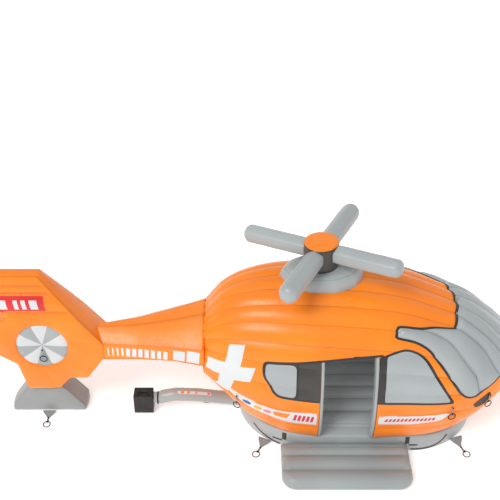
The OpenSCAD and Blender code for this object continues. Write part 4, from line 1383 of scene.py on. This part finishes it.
# Plain blocks along the boom: x, height, width, tallness and lean
boomMarks = [(-4.745 + 0.088 * k, 1.50 + 0.012 * k, 0.022 + 0.006 * k, 0.19, 0.0) for k in range(4)]
boomMarks += [(-4.40 + 0.118 * k, 1.535 + 0.012 * k, 0.078, 0.20, 0.012) for k in range(7)]
boomMarks += [(-3.51, 1.64, 0.215, 0.235, 0.02), (-3.26, 1.645, 0.235, 0.27, 0.02)]
for side, label in ((-1, "Near"), (1, "Far")):
    for k, (x, z, wide, tall, lean) in enumerate(boomMarks):
        shape = [(x, z), (x + wide, z + 0.004), (x + wide + lean, z + tall), (x + lean, z + tall - 0.004)]
        patchOn(f"boomMark{k + 1}{label}", [Vector(p) for p in shape], boomPlace(side, 0.004), whitePvc,
                "pvc_white", step=0.05, flip=side > 0)

# Tail bulkhead: a crowned end panel and the skin behind it
bulkhead = {"x": -2.95, "middle": 1.75, "crown": 0.035, "gap": 0.005, "inner": 0.02, "rings": 8, "around": 60}
rings, around = bulkhead["rings"], bulkhead["around"]
middle = Vector((bulkhead["x"], 0, bulkhead["middle"]))
points, faces = [], []
for r in range(rings + 1):
    k = 1 - r / rings
    for j in range(around + 1):
        q = middle.lerp(skinPoint(bulkhead["x"], j / around), k)
        points.append(Vector((bulkhead["x"] - bulkhead["crown"] * (1 - k * k), q.y, q.z)))
for r in range(rings):
    for j in range(around):
        a = r * (around + 1) + j
        faces.append((a, a + 1, a + around + 2, a + around + 1))
outer = len(points)
for i in range(outer):
    k = 1 - i // (around + 1) / rings
    x = bulkhead["x"] - bulkhead["gap"] + bulkhead["inner"] * (1 - k * k)
    points.append(Vector((x, points[i].y, points[i].z)))
faces += [tuple(v + outer for v in f[::-1]) for f in faces]
fit(makeMesh("tailBulkhead", points, faces, [orangePvc], recalc=False), "pvc_orange", "tail_bulkhead", fill=1.0)
print("tail: boom and bulkhead made")

# Rotor: it leans towards the tail, and its plinth is wider along the roof than across it
rotor = {"x": -0.83, "foot": 3.36, "lean": 2.5, "hubLow": 0.293, "hubTop": 0.305, "hubHigh": 0.47, "armZ": 0.295,
         "armRadius": 0.178, "reach": 1.50, "firstAngle": -27, "endRound": 0.15, "plinthWidth": 0.66,
         "plinth": [(0.0, 3.363), (0.30, 3.362), (0.48, 3.356), (0.58, 3.335), (0.65, 3.30), (0.715, 3.235),
                    (0.752, 3.14), (0.757, 3.04)],
         "cap": [(0.296, -0.004), (0.303, 0.002), (0.305, 0.010), (0.298, 0.018), (0.26, 0.026), (0.2, 0.033),
                 (0.12, 0.038), (0.04, 0.040)]}
rotorLean = Matrix.Rotation(math.radians(-rotor["lean"]), 4, "Y")
rotorFrame = Matrix.Translation((rotor["x"], 0, rotor["foot"])) @ rotorLean


def revolve(profile, turns=72):
    # profile: (radius, height) about the rotor axis
    points = []
    for r, z in profile:
        for k in range(turns):
            a = 2 * math.pi * k / turns
            points.append(rotorFrame @ Vector((r * math.cos(a), r * math.sin(a), z)))
    return points, tubeFaces(len(profile), turns) + endFaces(len(profile), turns)


def roofHeight(x, y):
    width, top, waist = stationAt(round(x, 3))[:3]
    k = hull["roundness"]
    return waist + (top - waist) * (1 - (abs(y) / width) ** (2 / k)) ** (k / 2)


profile = curved([Vector(p) for p in rotor["plinth"]], 4)
points, faces = [], []
turns, sides = 144, 10


def plinthPoint(radius, z, k, bend):
    # bend draws the round rim towards ten flat sides
    a = 2 * math.pi * k / turns
    t = (k * sides / turns) % 1.0
    out = radius * (1 - 0.03 * bend * arch(t))
    x, y = out * math.cos(a), rotor["plinthWidth"] * out * math.sin(a)
    lean = x * math.tan(math.radians(rotor["lean"]))
    return Vector((rotor["x"] + x, y, max(z + lean, roofHeight(rotor["x"] + x, y) - 0.03)))


for i, p in enumerate(profile[1:]):
    for k in range(turns):
        points.append(plinthPoint(p.x, p.y, k, smoothStep(0.5, 0.72, p.x)))
for k in range(turns):
    q = plinthPoint(0.69, 0.0, k, 1.0)
    points.append(Vector((q.x, q.y, q.z - 0.03)))
rowsCount = len(points) // turns
sharp, seamPoints = set(), set()
crease = min(range(len(profile)), key=lambda i: abs(profile[i].x - 0.65)) - 1
for i in range(rowsCount - 1):
    for k in range(turns):
        j = (k + 1) % turns
        faces.append((i * turns + k, (i + 1) * turns + k, (i + 1) * turns + j, i * turns + j))
        if i == crease:
            sharp.add(tuple(sorted((i * turns + k, i * turns + j))))
            seamPoints.add(i * turns + k)
faces.append(tuple(range(turns)))
faces.append(tuple((rowsCount - 1) * turns + k for k in range(turns - 1, -1, -1)))
fit(makeMesh("rotorPlinth", points, faces, [greyPvc], None, sharp, seamPoints), "pvc_grey", "rotor_plinth",
    fill=1.0)

hubProfile = []
for k in range(13):
    t = k / 12
    hubProfile.append((blend(rotor["hubLow"], rotor["hubTop"], t) + 0.006 * math.sin(math.pi * t),
                       blend(0.002, rotor["hubHigh"], t)))
points, faces = revolve(hubProfile)
fit(makeMesh("rotorHub", points, faces, [darkPvc]), "pvc_dark", "rotor_hub", fill=1.0)
points, faces = revolve([(r, z + rotor["hubHigh"]) for r, z in rotor["cap"]])
fit(makeMesh("rotorCap", points, faces, [orangePvc]), "pvc_orange", "rotor_cap", fill=1.0)


def rotorArm(k):
    angle = math.radians(rotor["firstAngle"] + 90 * k)
    axis = Vector((math.cos(angle), math.sin(angle), 0))
    across = Vector((-math.sin(angle), math.cos(angle), 0))
    r, end, length = rotor["armRadius"], rotor["endRound"], rotor["reach"]
    profile = [(0.27, r * 0.94), (0.29, r * 0.965), (0.33, r * 0.985), (0.42, r)]
    profile += [(blend(0.42, length - end, j / 10), r) for j in range(1, 11)]
    profile += [(length - end + end * math.sin(math.pi / 16 * j), r - end + end * math.cos(math.pi / 16 * j))
                for j in range(1, 9)]
    panels, parts = 6, 8
    turns = panels * parts
    points = []
    for reach, radius in profile:
        straight = 1 - smoothStep(length - end, length - end * 0.3, reach)
        for j in range(turns):
            a = 2 * math.pi * j / turns + math.pi / 6
            t = (j % parts) / parts
            pull = 0.003 * noise.noise(Vector((reach * 6, math.cos(a) * 2, math.sin(a) * 2 + k * 5)))
            # flatter panels between the seams, so that the section is a soft hexagon
            out = radius - 0.014 * straight * arch(t) + pull
            points.append(rotorFrame @ (axis * reach + across * out * math.cos(a)
                                        + Vector((0, 0, rotor["armZ"] + out * math.sin(a)))))
    faces = tubeFaces(len(profile), turns) + endFaces(len(profile), turns)
    fit(makeMesh(f"rotorArm{k + 1}", points, faces, [greyPvc]), "pvc_grey", f"rotor_arm_{k + 1}", fill=1.0)


for k in range(4):
    rotorArm(k)
print("rotor: plinth, hub, cap and arms made")

# Inlet sleeve: the path of its middle, with the radius there
sleeve = {"path": [(-3.978, -0.2, 0.310, 0.109), (-3.92, -0.2, 0.310, 0.108), (-3.89, -0.2, 0.310, 0.1075),
                   (-3.865, -0.2, 0.314, 0.1115), (-3.83, -0.2, 0.325, 0.126), (-3.72, -0.198, 0.352, 0.1285),
                   (-3.56, -0.192, 0.385, 0.129), (-3.33, -0.178, 0.362, 0.130), (-3.10, -0.165, 0.335, 0.130),
                   (-2.90, -0.152, 0.298, 0.130), (-2.70, -0.14, 0.260, 0.130), (-2.50, -0.13, 0.228, 0.130),
                   (-2.31, -0.12, 0.198, 0.130)],
          "wall": 0.003, "gathers": 18}
turns = 54
points, faces = [], []
path = []
for a, b in zip(sleeve["path"], sleeve["path"][1:]):
    path += [tuple(blend(p, q, t) for p, q in zip(a, b)) for t in (0.0, 0.5)]
path.append(sleeve["path"][-1])
for wall in (0.0, sleeve["wall"]):
    for x, y, z, r in path:
        # gathered just past the strap, and a little on the blower's side of it
        gather = smoothStep(-3.87, -3.84, x) * (1 - smoothStep(-3.83, -3.55, x))
        gather += 0.4 * smoothStep(-3.96, -3.93, x) * (1 - smoothStep(-3.91, -3.90, x))
        for k in range(turns):
            a = 2 * math.pi * k / turns
            fold = 0.004 * gather * math.cos(sleeve["gathers"] * a)
            soft = 0.004 * noise.noise(Vector((x * 5, math.cos(a), math.sin(a)))) * smoothStep(-3.85, -3.6, x)
            out = r - wall + fold + soft
            points.append(Vector((x, y - out * math.cos(a), z + out * math.sin(a))))
rowsCount = len(points) // turns // 2
size = rowsCount * turns
for layer in (0, 1):
    for i in range(rowsCount - 1):
        for k in range(turns):
            j = (k + 1) % turns
            a, b = layer * size + i * turns, layer * size + (i + 1) * turns
            faces.append((a + k, b + k, b + j, a + j) if layer else (a + k, a + j, b + j, b + k))
for k in range(turns):
    j = (k + 1) % turns
    faces.append((k, k + size, j + size, j))
    a = (rowsCount - 1) * turns
    faces.append((a + k, a + j, a + j + size, a + k + size))
fit(makeMesh("inletSleeve", points, faces, [greyPvc]), "pvc_grey", "inlet_sleeve", fill=1.0)


def sleevePlace(lift):
    # x along the sleeve and height round it, measured from its near side upwards
    def place(u, v, drop):
        path = sleeve["path"]
        y, z, r = (float(np.interp(u, [p[0] for p in path], [p[c] for p in path])) for c in (1, 2, 3))
        soft = 0.004 * noise.noise(Vector((u * 5, math.cos(v / r), math.sin(v / r)))) * smoothStep(-3.85, -3.6, u)
        out = r + soft + lift - drop
        return Vector((u, y - out * math.cos(v / r), z + out * math.sin(v / r)))
    return place


# Plain blocks on the sleeve: from x to x, from height to height round it
sleeveMarks = [(-3.50, -2.86, 0.105, 0.165, whitePvc, 0.003), (-3.44, -3.38, 0.112, 0.160, orangePvc, 0.006),
               (-3.32, -3.27, 0.112, 0.160, orangePvc, 0.006), (-3.16, -3.13, 0.112, 0.160, orangePvc, 0.006),
               (-2.93, -2.88, 0.112, 0.160, rosePvc, 0.006), (-3.00, -2.90, -0.135, -0.105, blackPvc, 0.014)]
for k, (x0, x1, v0, v1, look, lift) in enumerate(sleeveMarks):
    shape = [Vector((x0, v0)), Vector((x1, v0)), Vector((x1, v1)), Vector((x0, v1))]
    patchOn(f"sleeveMark{k + 1}", shape, sleevePlace(lift), look, "pvc_white", step=0.04)

# The strap round the sleeve, with its loose end
band = [(-3.906, 0.1105), (-3.906, 0.1155), (-3.903, 0.1170), (-3.882, 0.1170), (-3.879, 0.1155), (-3.879, 0.1105)]
points, faces = [], []
for k in range(turns):
    a = 2 * math.pi * k / turns
    points += [Vector((x, -0.2 - r * math.cos(a), 0.31 + r * math.sin(a))) for x, r in band]
n = len(band)
for k in range(turns):
    j = (k + 1) % turns
    for i in range(n):
        m = (i + 1) % n
        faces.append((k * n + i, k * n + m, j * n + m, j * n + i))
tongue = [Vector((x, -0.2 - out, z)) for x in (-3.905, -3.880) for out, z in
          ((0.113, 0.33), (0.121, 0.33), (0.128, 0.24), (0.120, 0.24))]
o = len(points)
points += tongue
faces += [(o + j, o + (j + 1) % 4, o + 4 + (j + 1) % 4, o + 4 + j) for j in range(4)]
faces += [(o + 3, o + 2, o + 1, o), (o + 4, o + 5, o + 6, o + 7)]
fit(makeMesh("sleeveStrap", points, faces, [blackWebbing]), "strap_black", "sleeve_strap")

# Ground anchors: strap root and ring; hull anchors: place and heading in degrees
anchors = {
    "ground": [(-1.815, -1.045, -1.99, -1.40), (-1.815, 1.045, -1.99, 1.40), (1.79, -1.005, 1.93, -1.40),
               (1.79, 1.005, 1.93, 1.40), (-6.03, -0.30, -6.03, -0.64), (-6.03, 0.30, -6.03, 0.64)],
    "hull": [(-2.33, -1.142, 1.262, -116), (-2.33, 1.142, 1.262, 116), (1.51, -1.416, 1.24, -79),
             (1.51, 1.416, 1.24, 79), (2.185, -1.201, 1.35, -66), (-5.95, -0.34, 1.66, -90),
             (-5.95, 0.34, 1.66, 90)],
    "ringRadius": 0.066, "tabOut": 0.028, "thick": 0.003,
}
points, faces = [], []


def strapRibbon(rows, thick):
    # rows: (middle, half-width vector, up vector)
    o = len(points)
    for middle, half, up in rows:
        for u in (-1.0, -0.5, 0.0, 0.5, 1.0):
            points.append(middle + half * u + up * thick / 2)
        for u in (1.0, 0.5, 0.0, -0.5, -1.0):
            points.append(middle + half * u - up * thick / 2)
    faces.extend(tubeFaces(len(rows), 10, o) + endFaces(len(rows), 10, o))


for rx, ry, cx, cy in anchors["ground"]:
    lay = Vector((cx - rx, cy - ry, 0))
    length = lay.length - anchors["ringRadius"] * 0.99
    lay.normalize()
    across = Vector((-lay.y, lay.x, 0))
    rows = []
    for k in range(13):
        t = k / 12
        wide = blend(0.13, 0.02, smoothStep(0.0, 0.62, t))
        z = 0.0035 + 0.05 * (1 - smoothStep(0.0, 0.55, t))
        rows.append((Vector((rx, ry, z)) + lay * (length + 0.012) * t, across * wide, Vector((0, 0, 1))))
    strapRibbon(rows, anchors["thick"])
for x, y, z, heading in anchors["hull"]:
    a = math.radians(heading)
    out = Vector((math.cos(a), math.sin(a), 0))
    across = Vector((-out.y, out.x, 0))
    rows = []
    for k in range(9):
        t = k / 8
        wide = 0.014 if t < 0.15 else 0.010
        rows.append((Vector((x, y, z + 0.02 - 0.142 * t)) + out * anchors["tabOut"], across * wide, out))
    strapRibbon(rows, anchors["thick"])
fit(makeMesh("anchorStraps", points, faces, [greyWebbing], smooth=False), "webbing", "anchor_straps")
print("air supply and anchors made")

# Finishes of the parts that keep their first shape
finishes = {
    oxideSteel: [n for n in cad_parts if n.startswith("ring_")],
    blackSteel: ["anchor_hardware"],
    blackAbs: ["blower_casing", "intake_cover", "outlet_nozzle", "carry_handle"],
    darkNylon: ["backdraft_flap", "fan_impeller", "power_inlet"],
    redAbs: ["power_switch"],
    darkRubber: ["blower_feet"],
    zincSteel: ["intake_grille", "flap_pin", "motor_shaft", "motor_bracket", "cover_screws"],
    castAlloy: ["fan_motor"],
}
for look, names in finishes.items():
    for name in names:
        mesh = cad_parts[name].data
        for k in range(len(mesh.materials)):
            mesh.materials[k] = look
        if not mesh.materials:
            mesh.materials.append(look)
print("finishes: assigned")

# Camera, floor and light
studio = {"camera": (-2.10, -12.67, 12.37), "tilt": 55.5, "lens": 63.0, "sensor": 36.0, "floor": 90.0,
          "floorGlow": 0.34, "world": 0.66, "key": 1.5, "keySoftness": 24.0, "keyTurn": (32, -30, 0),
          "cabin": 7.0, "cabinSize": 1.6, "cabinLamp": (-0.3, 0.0, 2.25)}
camera = bpy.data.objects.new("camera", bpy.data.cameras.new("camera"))
camera.location = studio["camera"]
camera.rotation_euler = (math.radians(studio["tilt"]), 0, 0)
camera.data.lens = studio["lens"]
camera.data.sensor_width = studio["sensor"]
camera.data.clip_end = 400.0
bpy.context.scene.collection.objects.link(camera)
bpy.context.scene.camera = camera

floorMesh = bpy.data.meshes.new("studioFloor")
half = studio["floor"]
floorMesh.from_pydata([(-half, -half, 0), (half, -half, 0), (half, half, 0), (-half, half, 0)], [], [(0, 1, 2, 3)])
floorPiece = bpy.data.objects.new("studioFloor", floorMesh)
bpy.context.scene.collection.objects.link(floorPiece)
# Painted studio floor, matt and pale
floorPaint, tree, shader, place = newMaterial("studio floor, matt paint")
mottle = addNode(tree, "ShaderNodeTexNoise", {"Scale": 0.25, "Detail": 2.0}, {"Vector": place})
paint = addNode(tree, "ShaderNodeMix", {"data_type": "RGBA", 6: toLinear("#F7F8F9"), 7: toLinear("#FBFAF8")},
                {0: mottle.outputs["Fac"]})
tree.links.new(paint.outputs[2], shader.inputs["Base Color"])
shader.inputs["Roughness"].default_value = 0.85
shader.inputs["Specular IOR Level"].default_value = 0.1
shader.inputs["Emission Color"].default_value = (1.0, 1.0, 1.0, 1.0)
shader.inputs["Emission Strength"].default_value = studio["floorGlow"]
floorMesh.materials.append(floorPaint)

world = bpy.data.worlds.new("studio")
world.use_nodes = True
world.node_tree.nodes["Background"].inputs["Color"].default_value = (1.0, 1.0, 1.0, 1.0)
world.node_tree.nodes["Background"].inputs["Strength"].default_value = studio["world"]
bpy.context.scene.world = world


def addLight(name, kind, power, place=(0, 0, 0), turn=(0, 0, 0)):
    light = bpy.data.lights.new(name, kind)
    light.energy = power
    lamp = bpy.data.objects.new(name, light)
    lamp.location = place
    lamp.rotation_euler = [math.radians(a) for a in turn]
    bpy.context.scene.collection.objects.link(lamp)
    return light


key = addLight("key", "SUN", studio["key"], turn=studio["keyTurn"])
key.angle = math.radians(studio["keySoftness"])
cabin = addLight("cabin", "AREA", studio["cabin"], studio["cabinLamp"])
cabin.size = studio["cabinSize"]
bpy.context.scene.view_settings.view_transform = "Standard"
print("studio: camera, floor and light set")

bpy.context.view_layer.update()
